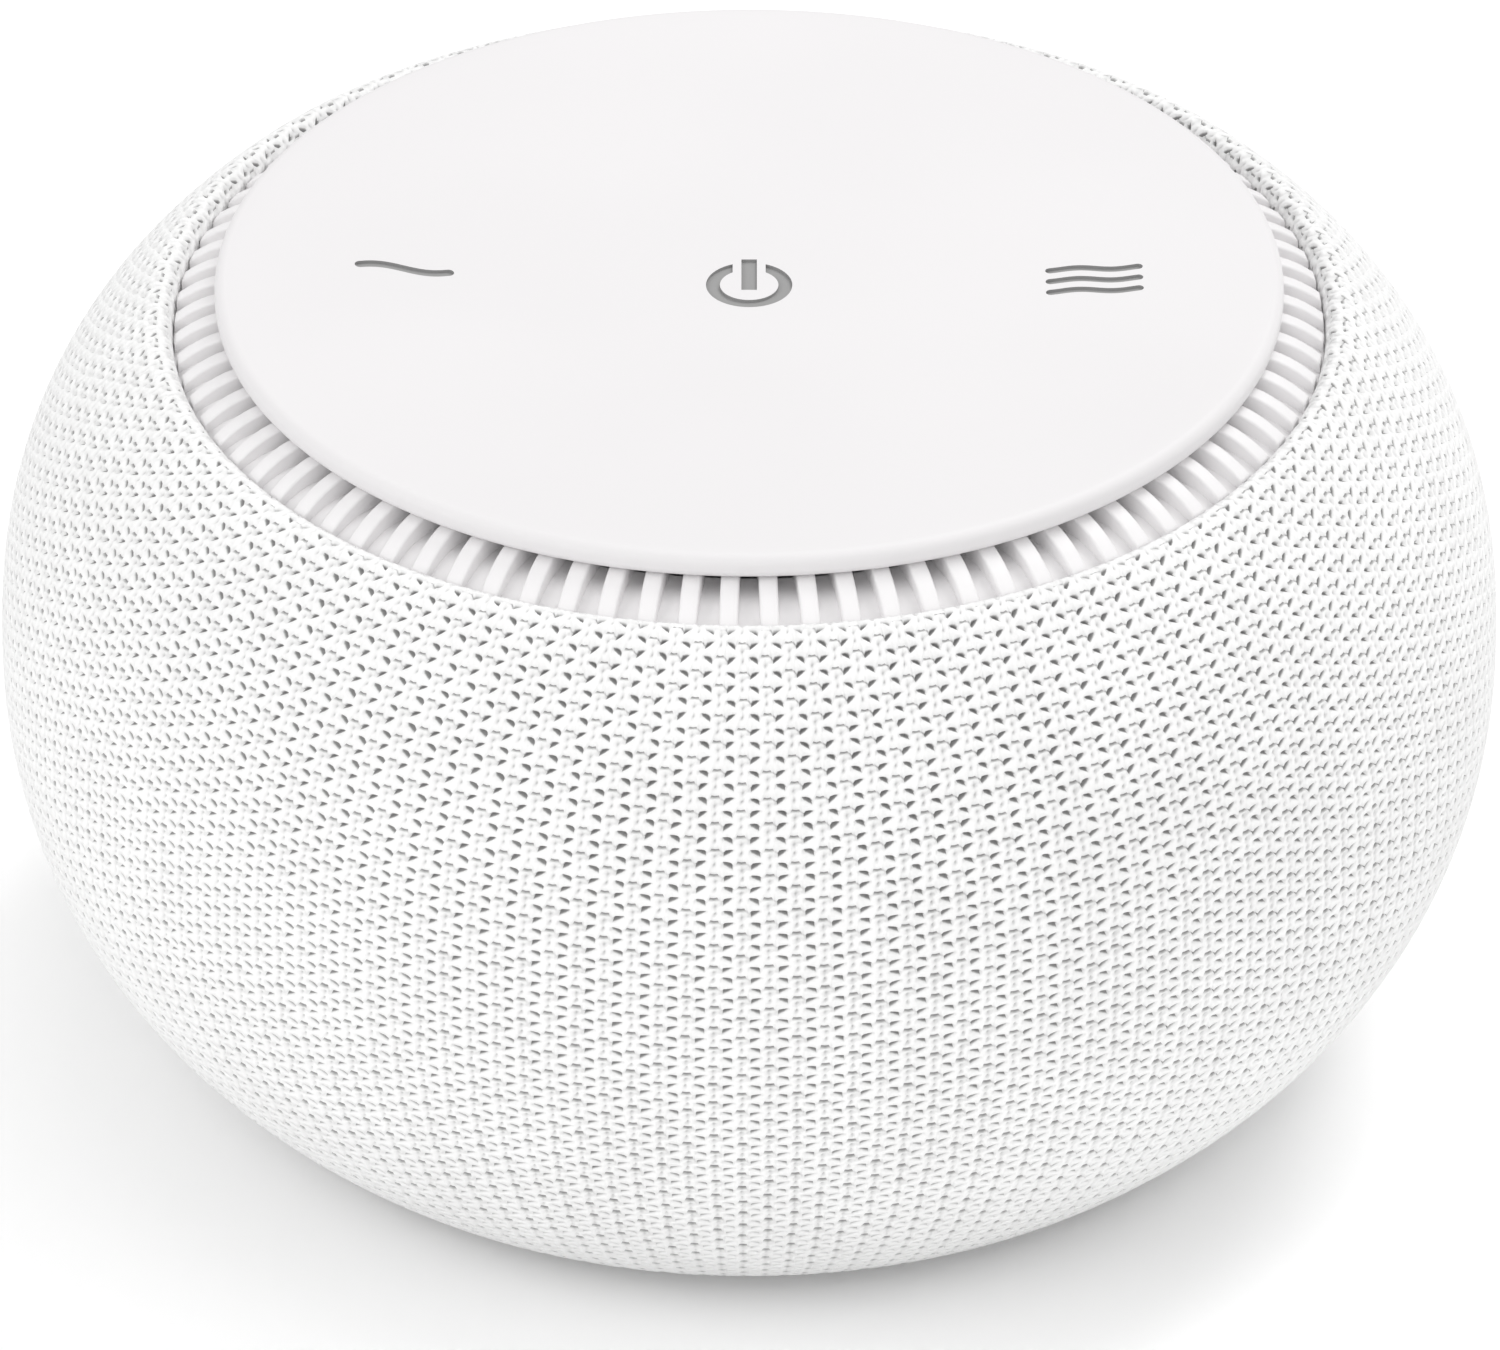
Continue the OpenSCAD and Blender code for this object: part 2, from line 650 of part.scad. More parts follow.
module base_screws() {
    color("silver") at_angles(base_screw_angles, base_screw_r)
        translate([0, 0, base_lift + screw_sink]) mirror([0, 0, 1]) screw(0, screw_len);
}

module slide_ring() {
    color([0.35, 0.35, 0.37]) ring(stop_r + turn_gap + 0.2, base_r - 0.3, ledge_top, slide_t);
}

// ---- circuit boards and inlet ----

module main_board() {
    color([0.1, 0.4, 0.25]) difference() {
        translate([-board_w / 2, board_front, board_z]) cube([board_w, board_len, board_t]);
        at_board_corners() translate([0, 0, board_z - 1])
            cylinder(r = screw_r + seat, h = board_t + 2, $fn = 32);
    }
}

module board_screws() {
    color("silver") at_board_corners() screw(board_top, board_screw_len);
}

// A chip with a row of legs on each long side
module chip(w, l, legs) {
    translate([-w / 2, -l / 2, 0.2]) cube([w, l, 1.4]);
    for (s = [-1, 1], i = [0 : legs - 1])
        translate([s * (w / 2 + 0.35) - 0.5, (i - (legs - 1) / 2) * l / (legs + 0.5) - 0.2, 0])
            cube([1, 0.4, 0.6]);
}

module control_chips() {
    color([0.12, 0.12, 0.13]) for (i = [0, 1])
        translate([chip_x[i], board_front + chip_front[i], board_top])
            chip(chip_w[i], chip_len[i], chip_legs[i]);
}

module filter_capacitors() {
    color([0.15, 0.2, 0.35]) for (x = cap_x) translate([x, board_back - cap_back, board_top])
        difference() {
            cylinder(r = cap_r, h = cap_h, $fn = 48);
            translate([0, 0, cap_h - cap_rim / 2]) cylinder(r = cap_r - cap_rim, h = 1, $fn = 48);
        }
}

module power_inductor() {
    color([0.25, 0.22, 0.2]) translate([coil_x, board_back - cap_back, board_top]) {
        translate([-coil_w / 2, -coil_w / 2, 0]) cube([coil_w, coil_w, 0.8]);
        cylinder(r = coil_w * 0.31, h = coil_h - 0.2, $fn = 32);
        for (z = [0.7, coil_h - 0.8]) translate([0, 0, z])
            cylinder(r = coil_w * 0.47, h = 0.8, $fn = 32);
    }
}

module board_sockets() {
    color([0.92, 0.9, 0.82]) for (s = [-1, 1]) translate([s * socket_x, 0, board_top]) difference() {
        translate([-socket_l / 2, -lead_w / 2 - 1.2, 0]) cube([socket_l, lead_w + 2.4, socket_h]);
        translate([s * 1.2 - socket_l / 2, -lead_w / 2, socket_h / 2 + 0.8])
            cube([socket_l, lead_w, socket_h]);
    }
}

module dc_jack() {
    color([0.1, 0.1, 0.1]) difference() {
        union() {
            translate([-jack_w / 2, jack_face - jack_len, jack_z - jack_h / 2 + seat])
                cube([jack_w, jack_len - seat, jack_h - seat]);
            translate([0, pocket_front, jack_z]) rotate([90, 0, 0])
                cylinder(r = jack_nose_r, h = pocket_wall + 1, $fn = 48);
        }
        translate([0, pocket_front + 1, jack_z]) rotate([90, 0, 0])
            cylinder(r = jack_bore_r, h = jack_bore_len + 1, $fn = 48);
    }
}

module jack_pin() {
    color("silver") translate([0, pocket_front - 0.5, jack_z]) rotate([90, 0, 0])
        cylinder(r = jack_pin_r, h = jack_bore_len - 0.5, $fn = 32);
}

// ---- motor ----

bobbin_r = 4.6;
bobbin_neck_r = 3;
mount_eye_r = 5.4;
mount_arm_w = 6;

module motor_mount() {
    color([0.75, 0.76, 0.78]) difference() {
        union() {
            translate([0, 0, mount_z]) cylinder(r = mount_hub_r, h = mount_t);
            at_angles(post_angles, 0) translate([0, -mount_arm_w / 2, mount_z])
                cube([post_ring_r, mount_arm_w, mount_t]);
            at_angles(post_angles, post_ring_r) translate([0, 0, mount_z])
                cylinder(r = mount_eye_r, h = mount_t);
        }
        translate([0, 0, mount_z - 1]) cylinder(r = bearing_d / 2, h = mount_t + 2);
        at_angles(post_angles, post_ring_r) translate([0, 0, mount_z - 1])
            cylinder(r = bobbin_neck_r, h = mount_t + 2, $fn = 48);
    }
}

module motor_grommets() {
    color([0.2, 0.2, 0.2]) at_angles(post_angles, post_ring_r) rotate_extrude($fn = 48) polygon([
        [screw_r + seat, post_h], [bobbin_r, post_h], [bobbin_r, mount_z], [bobbin_neck_r, mount_z],
        [bobbin_neck_r, mount_top], [bobbin_r, mount_top], [bobbin_r, bobbin_top],
        [screw_r + seat, bobbin_top]]);
}

module motor_screws() {
    color("silver") at_angles(post_angles, post_ring_r)
        screw(bobbin_top, bobbin_top - post_h + screw_len);
}

module bearing_tube() {
    color([0.8, 0.65, 0.35]) difference() {
        union() {
            translate([0, 0, mount_top]) cylinder(r = tube_flange_r, h = tube_flange_t);
            translate([0, 0, mount_top]) cylinder(r = tube_r, h = tube_top - mount_top);
        }
        translate([0, 0, mount_top - 1]) cylinder(r = bearing_d / 2, h = tube_top - mount_top + 2);
    }
}

module shaft_bearings() {
    color([0.72, 0.6, 0.4]) for (z = [bearing_low_z, tube_top - bearing_h])
        ring(shaft_r + shaft_gap, bearing_d / 2, z, bearing_h);
}

module stator_core() {
    color([0.45, 0.45, 0.47]) {
        ring(tube_r, core_r, stator_z, stator_h);
        round_copies(tooth_n, 0) {
            translate([core_r - 0.5, -tooth_w / 2, stator_z])
                cube([stator_r - shoe_t - core_r + 1, tooth_w, stator_h]);
            sector(stator_r - shoe_t, stator_r, stator_z, stator_h, 360 / tooth_n - 9);
        }
    }
}

module stator_windings() {
    wind_in = core_r + 0.3;
    wind_len = stator_r - shoe_t - 0.3 - wind_in;
    wind_w = tooth_w + 2.4;
    color([0.75, 0.42, 0.2]) round_copies(tooth_n, 0) difference() {
        translate([wind_in, -wind_w / 2, stator_z - coil_over])
            cube([wind_len, wind_w, stator_h + 2 * coil_over]);
        translate([wind_in - 1, -tooth_w / 2 - 0.05, stator_z - 0.05])
            cube([wind_len + 2, tooth_w + 0.1, stator_h + 0.1]);
    }
}

module motor_board() {
    color([0.15, 0.45, 0.3]) ring(tube_r + seat, stator_r - 0.5, motor_board_z, motor_board_t);
}

lead_z = mount_top + 0.3;
lead_in_r = tube_flange_r + 1;

// Flat lead from the motor board, over the carrier plate's edge, down to the main board's socket
module motor_lead() {
    low_end = board_top + socket_h / 2 + 0.9;
    color([0.85, 0.85, 0.85]) translate([0, lead_w / 2, 0]) rotate([90, 0, 0])
        linear_extrude(height = lead_w) polygon([
            [lead_in_r, lead_z + lead_t], [lead_x + lead_t, lead_z + lead_t], [lead_x + lead_t, low_end],
            [lead_x, low_end], [lead_x, lead_z], [lead_in_r, lead_z]]);
}

// ---- rotor ----

module rotor_cup() {
    color([0.6, 0.61, 0.63]) difference() {
        translate([0, 0, cup_z]) cylinder(r = cup_r, h = cup_top - cup_z);
        translate([0, 0, cup_z - 1]) cylinder(r = cup_in_r, h = cup_roof_z - cup_z + 1);
        translate([0, 0, cup_z]) cylinder(r = shaft_r, h = cup_top - cup_z + 1, $fn = 48);
        round_copies(4, cup_in_r * 0.6, 45) translate([0, 0, cup_roof_z - 1])
            cylinder(r = 2, h = cup_t + 2, $fn = 32);
    }
}

module magnet_ring() {
    color([0.3, 0.29, 0.28]) ring(stator_r + air_gap, cup_in_r - seat, stator_z, stator_h);
}

module motor_shaft() {
    color("silver") difference() {
        translate([0, 0, shaft_bottom]) cylinder(r = shaft_r, h = shaft_top - shaft_bottom, $fn = 48);
        ring(shaft_r - 0.35, shaft_r + 1, clip_z - 0.05, clip_t + 0.1);
    }
}

module shaft_clip() {
    color([0.4, 0.4, 0.42]) difference() {
        ring(shaft_r - 0.3, shaft_r + 1.3, clip_z, clip_t);
        translate([0, -shaft_r + 0.5, clip_z - 1]) cube([shaft_r + 3, 2 * shaft_r - 1, clip_t + 2]);
    }
}

// One face of a swept blade between the hub and the fan's rim, offset from its middle line
function blade_side(offset) = [for (i = [0 : 8])
    let (r = blade_in_r + (fan_r - 0.5 - blade_in_r) * i / 8,
        a = blade_sweep * pow(i / 8, 1.3), b = a + blade_lean)
    [r * cos(a) - offset * sin(b), r * sin(a) + offset * cos(b)]];

module impeller() {
    inner = blade_side(-blade_t / 2);
    outer = blade_side(blade_t / 2);
    color([0.2, 0.22, 0.25]) difference() {
        union() {
            translate([0, 0, fan_z]) cylinder(r = fan_r, h = fan_floor_t);
            translate([0, 0, fan_z]) cylinder(r = fan_hub_r, h = fan_hub_top - fan_z);
            round_copies(blade_n, 0) translate([0, 0, fan_z + fan_floor_t / 2])
                linear_extrude(height = blade_h)
                    polygon(concat(inner, [for (i = [8 : -1 : 0]) outer[i]]));
        }
        translate([0, 0, fan_z - 1]) cylinder(r = cup_r + seat, h = cup_top + seat - fan_z + 1);
        translate([0, 0, fan_z]) cylinder(r = shaft_r, h = fan_hub_top - fan_z + 1, $fn = 48);
    }
}

// ---- turning shell ----

module fabric_sleeve() {
    hem_in_r = hem_c_r - hem_flat_w;
    inner_top = shell_z(lip_c_r + 0.1, fabric_t);
    color([0.97, 0.97, 0.97]) rotate_extrude($fn = 128) polygon(concat(
        [[hem_in_r, hem_h + fabric_t], [hem_in_r, hem_h]],
        arc(hem_c_r, hem_c_z, roll_r, 270, 360 + hem_lean),
        shell_path(hem_c_z + 0.5 + roll_r * sin(hem_lean), lip_c_z - 0.5 + roll_r * sin(lip_lean), 0),
        arc(lip_c_r, lip_c_z, roll_r, lip_lean, 180),
        [[lip_r, lip_tuck_z], [lip_r + fabric_t, lip_tuck_z], [lip_r + fabric_t, lip_c_z]],
        shell_path(inner_top, hem_c_z + 0.1, fabric_t),
        [[hem_c_r, hem_h + fabric_t]]));
}

module carrier_shell() {
    outer_in = fabric_t + skin_seat;
    window_z = carrier_floor_top + window_bar;
    tier_h = (carrier_top - window_z - 2 * window_bar) / 2;
    color([0.8, 0.8, 0.8]) difference() {
        union() {
            rotate_extrude($fn = 128) polygon(concat(
                [[shutter_in_r + 0.2, carrier_floor_top], [shutter_in_r + 0.2, floor_z]],
                shell_path(floor_z, carrier_top, outer_in),
                shell_path(carrier_top, carrier_floor_top, carrier_in)));
            sector(shutter_in_r + 0.2, stop_r, floor_z - stop_h, stop_h + 1, stop_angle);
        }
        for (tier = [0, 1]) rotate([0, 0, tier * 180 / window_n])
            round_copies(window_n, shutter_r)
                translate([0, -window_w / 2, window_z + tier * (tier_h + window_bar)])
                    cube([body_d / 2 - shutter_r, window_w, tier_h]);
        round_copies(shutter_screw_n, shutter_screw_r, shutter_screw_turn)
            thread(carrier_floor_top, carrier_floor_t - 0.4);
    }
}

module top_trim_ring() {
    color([0.8, 0.8, 0.8]) rotate_extrude($fn = 128) polygon(concat(
        [[trim_in_r, carrier_top + seat]],
        shell_path(carrier_top + seat, shell_z(trim_in_r + 0.05, fabric_t + skin_seat),
            fabric_t + skin_seat)));
}

module bottom_trim_ring() {
    color([0.8, 0.8, 0.8]) rotate_extrude($fn = 128) polygon(concat(
        [[base_r + turn_gap, floor_z - seat / 2], [base_r + turn_gap, hem_h + fabric_t + seat]],
        shell_path(hem_h + fabric_t + seat, floor_z - seat / 2, fabric_t + skin_seat)));
}

module shutter_ring() {
    color([0.55, 0.57, 0.6]) difference() {
        union() {
            ring(shutter_in_r, shutter_r, shutter_flange_z, shutter_top - shutter_flange_z);
            ring(shutter_in_r, shutter_flange_r, shutter_flange_z, shutter_flange_t);
        }
        at_angles([for (i = [0 : port_n - 1]) (i + 0.5) * 360 / port_n], 0)
            sector(shutter_in_r - 1, shutter_r + 1, port_z, port_h, port_angle);
        round_copies(shutter_screw_n, shutter_screw_r, shutter_screw_turn)
            translate([0, 0, shutter_flange_z - 1])
                cylinder(r = screw_r + seat, h = shutter_flange_t + 2, $fn = 32);
    }
}

module shutter_screws() {
    color("silver") round_copies(shutter_screw_n, shutter_screw_r, shutter_screw_turn)
        screw(shutter_flange_z + shutter_flange_t, shutter_screw_len);
}

touch_plate();
icon_inlays();
touch_board();
touch_cable();
grille_ring();
grille_screws();
sound_drum();
base_plate();
rubber_feet();
base_screws();
slide_ring();
motor_mount();
motor_grommets();
motor_screws();
bearing_tube();
shaft_bearings();
stator_core();
stator_windings();
motor_board();
motor_lead();
main_board();
board_screws();
control_chips();
filter_capacitors();
power_inductor();
board_sockets();
dc_jack();
jack_pin();
fabric_sleeve();
carrier_shell();
top_trim_ring();
bottom_trim_ring();
shutter_ring();
shutter_screws();
impeller();
rotor_cup();
magnet_ring();
motor_shaft();
shaft_clip();
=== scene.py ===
import math

import bmesh
import bpy
import numpy as np
from mathutils import Euler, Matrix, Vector


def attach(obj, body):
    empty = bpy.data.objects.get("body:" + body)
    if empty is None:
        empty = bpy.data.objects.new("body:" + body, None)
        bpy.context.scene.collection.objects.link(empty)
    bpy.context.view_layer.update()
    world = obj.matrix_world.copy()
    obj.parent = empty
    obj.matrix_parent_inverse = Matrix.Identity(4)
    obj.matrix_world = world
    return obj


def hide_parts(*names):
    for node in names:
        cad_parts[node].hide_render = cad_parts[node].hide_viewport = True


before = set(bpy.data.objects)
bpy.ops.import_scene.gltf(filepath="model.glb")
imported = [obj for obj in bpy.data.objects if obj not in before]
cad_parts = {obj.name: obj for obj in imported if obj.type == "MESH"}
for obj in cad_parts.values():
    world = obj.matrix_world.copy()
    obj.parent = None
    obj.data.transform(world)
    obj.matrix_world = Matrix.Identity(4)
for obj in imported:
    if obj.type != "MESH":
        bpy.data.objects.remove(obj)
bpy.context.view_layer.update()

bpy.context.scene.view_settings.view_transform = "Standard"

MM = 0.001

# ---- camera -------------------------------------------------------------------------------------

CAMERA_DISTANCE = 1.2
CAMERA_ELEVATION = math.radians(32.84)
LENS = 304.7
AIM = Vector((0.00008, -0.00973, 0.04263))


def make_camera():
    camera = bpy.data.objects.new("camera", bpy.data.cameras.new("camera"))
    bpy.context.scene.collection.objects.link(camera)
    bpy.context.scene.camera = camera
    back = Vector((0, -math.cos(CAMERA_ELEVATION), math.sin(CAMERA_ELEVATION)))
    turned = back.to_track_quat("Z", "Y")
    camera.rotation_euler = turned.to_euler()
    camera.location = AIM + back * CAMERA_DISTANCE
    camera.data.sensor_width = 36
    camera.data.lens = LENS
    camera.data.clip_start, camera.data.clip_end = 0.05, 20


make_camera()

# ---- finishes -----------------------------------------------------------------------------------


class Wire:
    """A socket in a finish's node tree. Arithmetic on wires and numbers adds Math nodes."""

    def __init__(self, tree, socket=None):
        self.tree, self.socket = tree, socket

    def node(self, kind, out=0, sockets=None, **settings):
        """Adds one node of that kind and returns the wire of one of its outputs."""
        made = self.tree.nodes.new("ShaderNode" + kind)
        for name, value in settings.items():
            setattr(made, name, value)
        for key, value in (sockets or {}).items():
            if isinstance(value, Wire):
                self.tree.links.new(value.socket, made.inputs[key])
            else:
                made.inputs[key].default_value = value
        return Wire(self.tree, made.outputs[out])

    def math(self, operation, *values):
        return self.node("Math", operation=operation, sockets=dict(enumerate(values)))

    def __add__(self, other):
        return self.math("ADD", self, other)

    def __sub__(self, other):
        return self.math("SUBTRACT", self, other)

    def __rsub__(self, other):
        return self.math("SUBTRACT", other, self)

    def __mul__(self, other):
        return self.math("MULTIPLY", self, other)

    __radd__, __rmul__ = __add__, __mul__

    def over(self, low, high):
        """0 below low, 1 above high, and a smooth rise between."""
        return self.node("MapRange", interpolation_type="SMOOTHSTEP",
                         sockets={"Value": self, "From Min": low, "From Max": high})

    def blend(self, dark, light):
        """The colour that lies this far from dark to light."""
        return self.node("Mix", out=2, data_type="RGBA", sockets={0: self, 6: dark, 7: light})

    def place(self, scale=(1, 1, 1)):
        """The surface's place on the piece, in millimetres divided by scale."""
        spot = self.node("TexCoord", out="Object")
        return self.node("Mapping", sockets={
            "Vector": spot, "Scale": tuple(1 / (MM * s) for s in scale)})

    def noise(self, size, detail=2.0, place=None):
        """Soft noise whose lumps measure about that many millimetres."""
        return self.node("TexNoise", sockets={
            "Vector": place or self.place(), "Scale": 1 / size, "Detail": detail})

    def bump(self, height, depth):
        """A normal raised by height, which stands for depth millimetres at 1."""
        return self.node("Bump", sockets={
            "Height": height, "Strength": 1.0, "Distance": depth * MM})


def finish(name, sockets_of):
    """A material with one Principled shader, whose sockets come from sockets_of(wire)."""
    material = bpy.data.materials.new(name)
    material.use_nodes = True
    tree = material.node_tree
    tree.nodes.clear()
    wire = Wire(tree)
    shader = wire.node("BsdfPrincipled", sockets=sockets_of(wire))
    tree.links.new(shader.socket, tree.nodes.new("ShaderNodeOutputMaterial").inputs["Surface"])
    return material


def grey(value):
    return (value, value, value, 1)


def shade(colour, factor):
    return (*(c * factor for c in colour[:3]), 1)


def plastic(colour, rough=0.45, grain=0.18, depth=0.012, mottle=0.03, gloss=0.5):
    """Moulded plastic: a fine spark-eroded grain, and a faint drift of colour and gloss."""
    def sockets(wire):
        drift = wire.noise(14, 1).over(0.3, 0.7)
        fine = wire.noise(grain, 3)
        return {
            "Base Color": drift.blend(shade(colour, 1 - mottle), colour),
            "Roughness": rough + (fine - 0.5) * 0.12,
            "Specular IOR Level": gloss,
            "Normal": wire.bump(fine, depth)}
    return sockets


def metal(colour, rough=0.3, grain=(6, 0.15, 0.15), depth=0.004, mottle=0.12):
    """Bare metal with a drawn or turned grain that runs along its longest measure."""
    def sockets(wire):
        lines = wire.noise(1, 3, wire.place(grain))
        stain = wire.noise(5, 3).over(0.35, 0.75)
        return {
            "Base Color": stain.blend(shade(colour, 1 - mottle), colour),
            "Metallic": 1.0,
            "Roughness": rough + (lines - 0.5) * 0.25,
            "Normal": wire.bump(lines, depth)}
    return sockets


def bands(wire, axis, pitch, width):
    """1 on stripes of that width, square to an axis of the piece, every pitch millimetres."""
    along = wire.node("SeparateXYZ", out=axis, sockets={0: wire.place()})
    return wire.math("ABSOLUTE", wire.math("WRAP", along, pitch / 2, -pitch / 2)).over(
        width / 2 + pitch * 0.06, width / 2 - pitch * 0.06)


# The knit's own places: columns round the turn and rows up the cover, from its UV map
KNIT_MAP = "stitches"


def knit_sockets(wire):
    painted_pit_shade = wire.node("Attribute", out="Fac", attribute_name="painted_pit_shade")
    spot = wire.node("UVMap", uv_map=KNIT_MAP)
    strands = wire.node("TexNoise", sockets={
        "Vector": wire.node("Mapping", sockets={"Vector": spot, "Scale": (26, 9, 1)}),
        "Scale": 1.0, "Detail": 3.0})
    # Painted shade: the stitches' pits are painted from the yarn's white towards dark grey, by how
    # deep and how shaded each corner was set
    depth = painted_pit_shade.over(0.1, 0.7)
    lint = wire.noise(9, 2).over(0.35, 0.7)
    yarn = lint.blend((0.93, 0.928, 0.925, 1), (0.955, 0.955, 0.952, 1))
    return {
        "Base Color": depth.blend(yarn, (0.29, 0.288, 0.286, 1)),
        "Roughness": 0.86 - 0.1 * strands,
        "Specular IOR Level": 0.25,
        "Sheen Weight": 0.12,
        "Sheen Roughness": 0.5,
        "Normal": wire.bump(strands, 0.05)}


INK_AND_GROOVE_SHADE = (0.33, 0.328, 0.327, 1)             # the marks' own grey, also painted up the sides of their grooves as painted shade


def plate_sockets(wire):
    # Painted shade: the steep sides of the marks' grooves are painted in the marks' grey
    painted_groove_shade = wire.node("Attribute", out="Fac", attribute_name="painted_groove_shade")
    drift = wire.noise(30, 1).over(0.3, 0.7)
    fine = wire.noise(0.12, 3)
    moulded = drift.blend((0.782, 0.768, 0.774, 1), (0.794, 0.78, 0.786, 1))
    return {
        "Base Color": painted_groove_shade.blend(moulded, INK_AND_GROOVE_SHADE),
        "Roughness": 0.55 + (fine - 0.5) * 0.1,
        "Specular IOR Level": 0.3,
        "Normal": wire.bump(fine, 0.006)}


def circuit_sockets(wire):
    """Green solder mask over copper runs, with a faint weave of the laminate under it."""
    runs = wire.math("MAXIMUM", bands(wire, 0, 2.2, 0.5) * wire.noise(9, 0).over(0.5, 0.52),
                     bands(wire, 1, 1.9, 0.5) * (1 - wire.noise(9, 0).over(0.5, 0.52)))
    weave = wire.noise(0.3, 2)
    mask = runs.blend((0.008, 0.11, 0.04, 1), (0.02, 0.2, 0.07, 1))
    return {
        "Base Color": mask,
        "Roughness": 0.25 + weave * 0.12,
        "Coat Weight": 0.3,
        "Normal": wire.bump(runs * 0.7 + weave * 0.3, 0.03)}


def lead_sockets(wire):
    cores = bands(wire, 1, 0.9, 0.45)
    return {
        "Base Color": cores.blend((0.62, 0.62, 0.6, 1), (0.8, 0.79, 0.76, 1)),
        "Roughness": 0.4 + wire.noise(0.5, 2) * 0.12,
        "Normal": wire.bump(cores, 0.12)}


def laminate_sockets(wire):
    sheets = bands(wire, 2, 0.5, 0.34)
    return {
        "Base Color": sheets.blend((0.06, 0.06, 0.065, 1), (0.3, 0.3, 0.31, 1)),
        "Metallic": 1.0,
        "Roughness": 0.42 + wire.noise(0.6, 2) * 0.2,
        "Normal": wire.bump(sheets, 0.05)}


def copper_sockets(wire):
    turns = bands(wire, 2, 0.34, 0.2)
    return {
        "Base Color": turns.blend((0.3, 0.1, 0.035, 1), (0.72, 0.3, 0.12, 1)),
        "Metallic": 0.9,
        "Roughness": 0.28 + wire.noise(0.8, 2) * 0.15,
        "Normal": wire.bump(turns, 0.09)}


def screw_sockets(wire):
    thread = bands(wire, 2, 0.7, 0.4)
    stain = wire.noise(1.6, 3).over(0.35, 0.75)
    return {
        "Base Color": stain.blend((0.42, 0.42, 0.43, 1), (0.6, 0.6, 0.61, 1)),
        "Metallic": 1.0,
        "Roughness": 0.28 + wire.noise(0.4, 2) * 0.15,
        "Normal": wire.bump(thread, 0.12)}


def felt_sockets(wire):
    fibre = wire.noise(0.5, 5)
    return {
        "Base Color": fibre.blend((0.06, 0.06, 0.068, 1), (0.17, 0.17, 0.185, 1)),
        "Roughness": 0.9 + fibre * 0.1,
        "Sheen Weight": 0.4,
        "Normal": wire.bump(fibre, 0.15)}


def can_sockets(wire):
    """Capacitor can: a blue sleeve round the side and a bright scored end."""
    height = wire.node("SeparateXYZ", out=2, sockets={0: wire.place()})
    end = height.over(21.95, 22.05)
    return {
        "Base Color": end.blend((0.02, 0.035, 0.12, 1), (0.7, 0.7, 0.71, 1)),
        "Metallic": end,
        "Roughness": 0.3 + wire.noise(0.6, 2) * 0.1,
        "Normal": wire.bump(wire.noise(0.8, 2), 0.01)}


FINISHES = {
    "plate": plate_sockets,
    "mark": plastic(INK_AND_GROOVE_SHADE, rough=0.5, grain=0.15),
    "ribs": plastic((0.87, 0.857, 0.862, 1), rough=0.5, mottle=0.015, gloss=0.3),
    "knit": knit_sockets,
    "shell": plastic(grey(0.55), rough=0.5),
    "drum": plastic(grey(0.6), rough=0.5),
    "base": plastic((0.82, 0.815, 0.81, 1), rough=0.5, grain=0.35, depth=0.03),
    "rubber": plastic(grey(0.1), rough=0.75, grain=0.3, depth=0.03, gloss=0.3),
    "felt": felt_sockets,
    "circuit": circuit_sockets,
    "lead": lead_sockets,
    "socket": plastic((0.82, 0.79, 0.68, 1), rough=0.45),
    "chip": plastic(grey(0.03), rough=0.6, grain=0.12, depth=0.01),
    "can": can_sockets,
    "ferrite": plastic((0.07, 0.062, 0.057, 1), rough=0.7, grain=0.2, depth=0.03),
    "jack": plastic(grey(0.02), rough=0.45),
    "contact": metal((0.78, 0.76, 0.72, 1), rough=0.2, grain=(0.15, 4, 0.15)),
    "screw": screw_sockets,
    "steel": metal((0.55, 0.55, 0.56, 1), rough=0.32),
    "laminate": laminate_sockets,
    "copper": copper_sockets,
    "bearing": metal((0.55, 0.4, 0.22, 1), rough=0.4, grain=(0.3, 0.3, 0.3), depth=0.012),
    "magnet": plastic(grey(0.09), rough=0.5, grain=0.25, depth=0.02),
    "fan": plastic((0.035, 0.04, 0.05, 1), rough=0.42),
}
MATERIALS = {name: finish(name, sockets_of) for name, sockets_of in FINISHES.items()}


# Which CAD nodes take each finish
NODES_BY_SLOT = {
    "plate": "touch_plate",
    "mark": "icon_inlays",
    "ribs": "grille_ring",
    "knit": "fabric_sleeve",
    "shell": "carrier_shell top_trim_ring bottom_trim_ring shutter_ring",
    "drum": "sound_drum",
    "base": "base_plate",
    "rubber": "rubber_feet motor_grommets",
    "felt": "slide_ring",
    "circuit": "touch_board main_board motor_board",
    "lead": "touch_cable motor_lead",
    "socket": "board_sockets",
    "chip": "control_chips",
    "can": "filter_capacitors",
    "ferrite": "power_inductor",
    "jack": "dc_jack",
    "contact": "jack_pin",
    "screw": "grille_screws base_screws motor_screws board_screws shutter_screws",
    "steel": "motor_mount rotor_cup motor_shaft shaft_clip bearing_tube",
    "laminate": "stator_core",
    "copper": "stator_windings",
    "bearing": "shaft_bearings",
    "magnet": "magnet_ring",
    "fan": "impeller",
}
for slot, nodes in NODES_BY_SLOT.items():
    for node in nodes.split():
        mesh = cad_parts[node].data
        mesh.materials.clear()
        mesh.materials.append(MATERIALS[slot])

# ---- pieces -------------------------------------------------------------------------------------


def piece(name, bm, slot, body):
    """Turns a bmesh in metres into a finished piece that rides on a body."""
    mesh = bpy.data.meshes.new(name)
    bm.to_mesh(mesh)
    bm.free()
    mesh.shade_smooth()
    mesh.materials.append(MATERIALS[slot])
    made = bpy.data.objects.new(name, mesh)
    bpy.context.scene.collection.objects.link(made)
    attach(made, body)
    return made


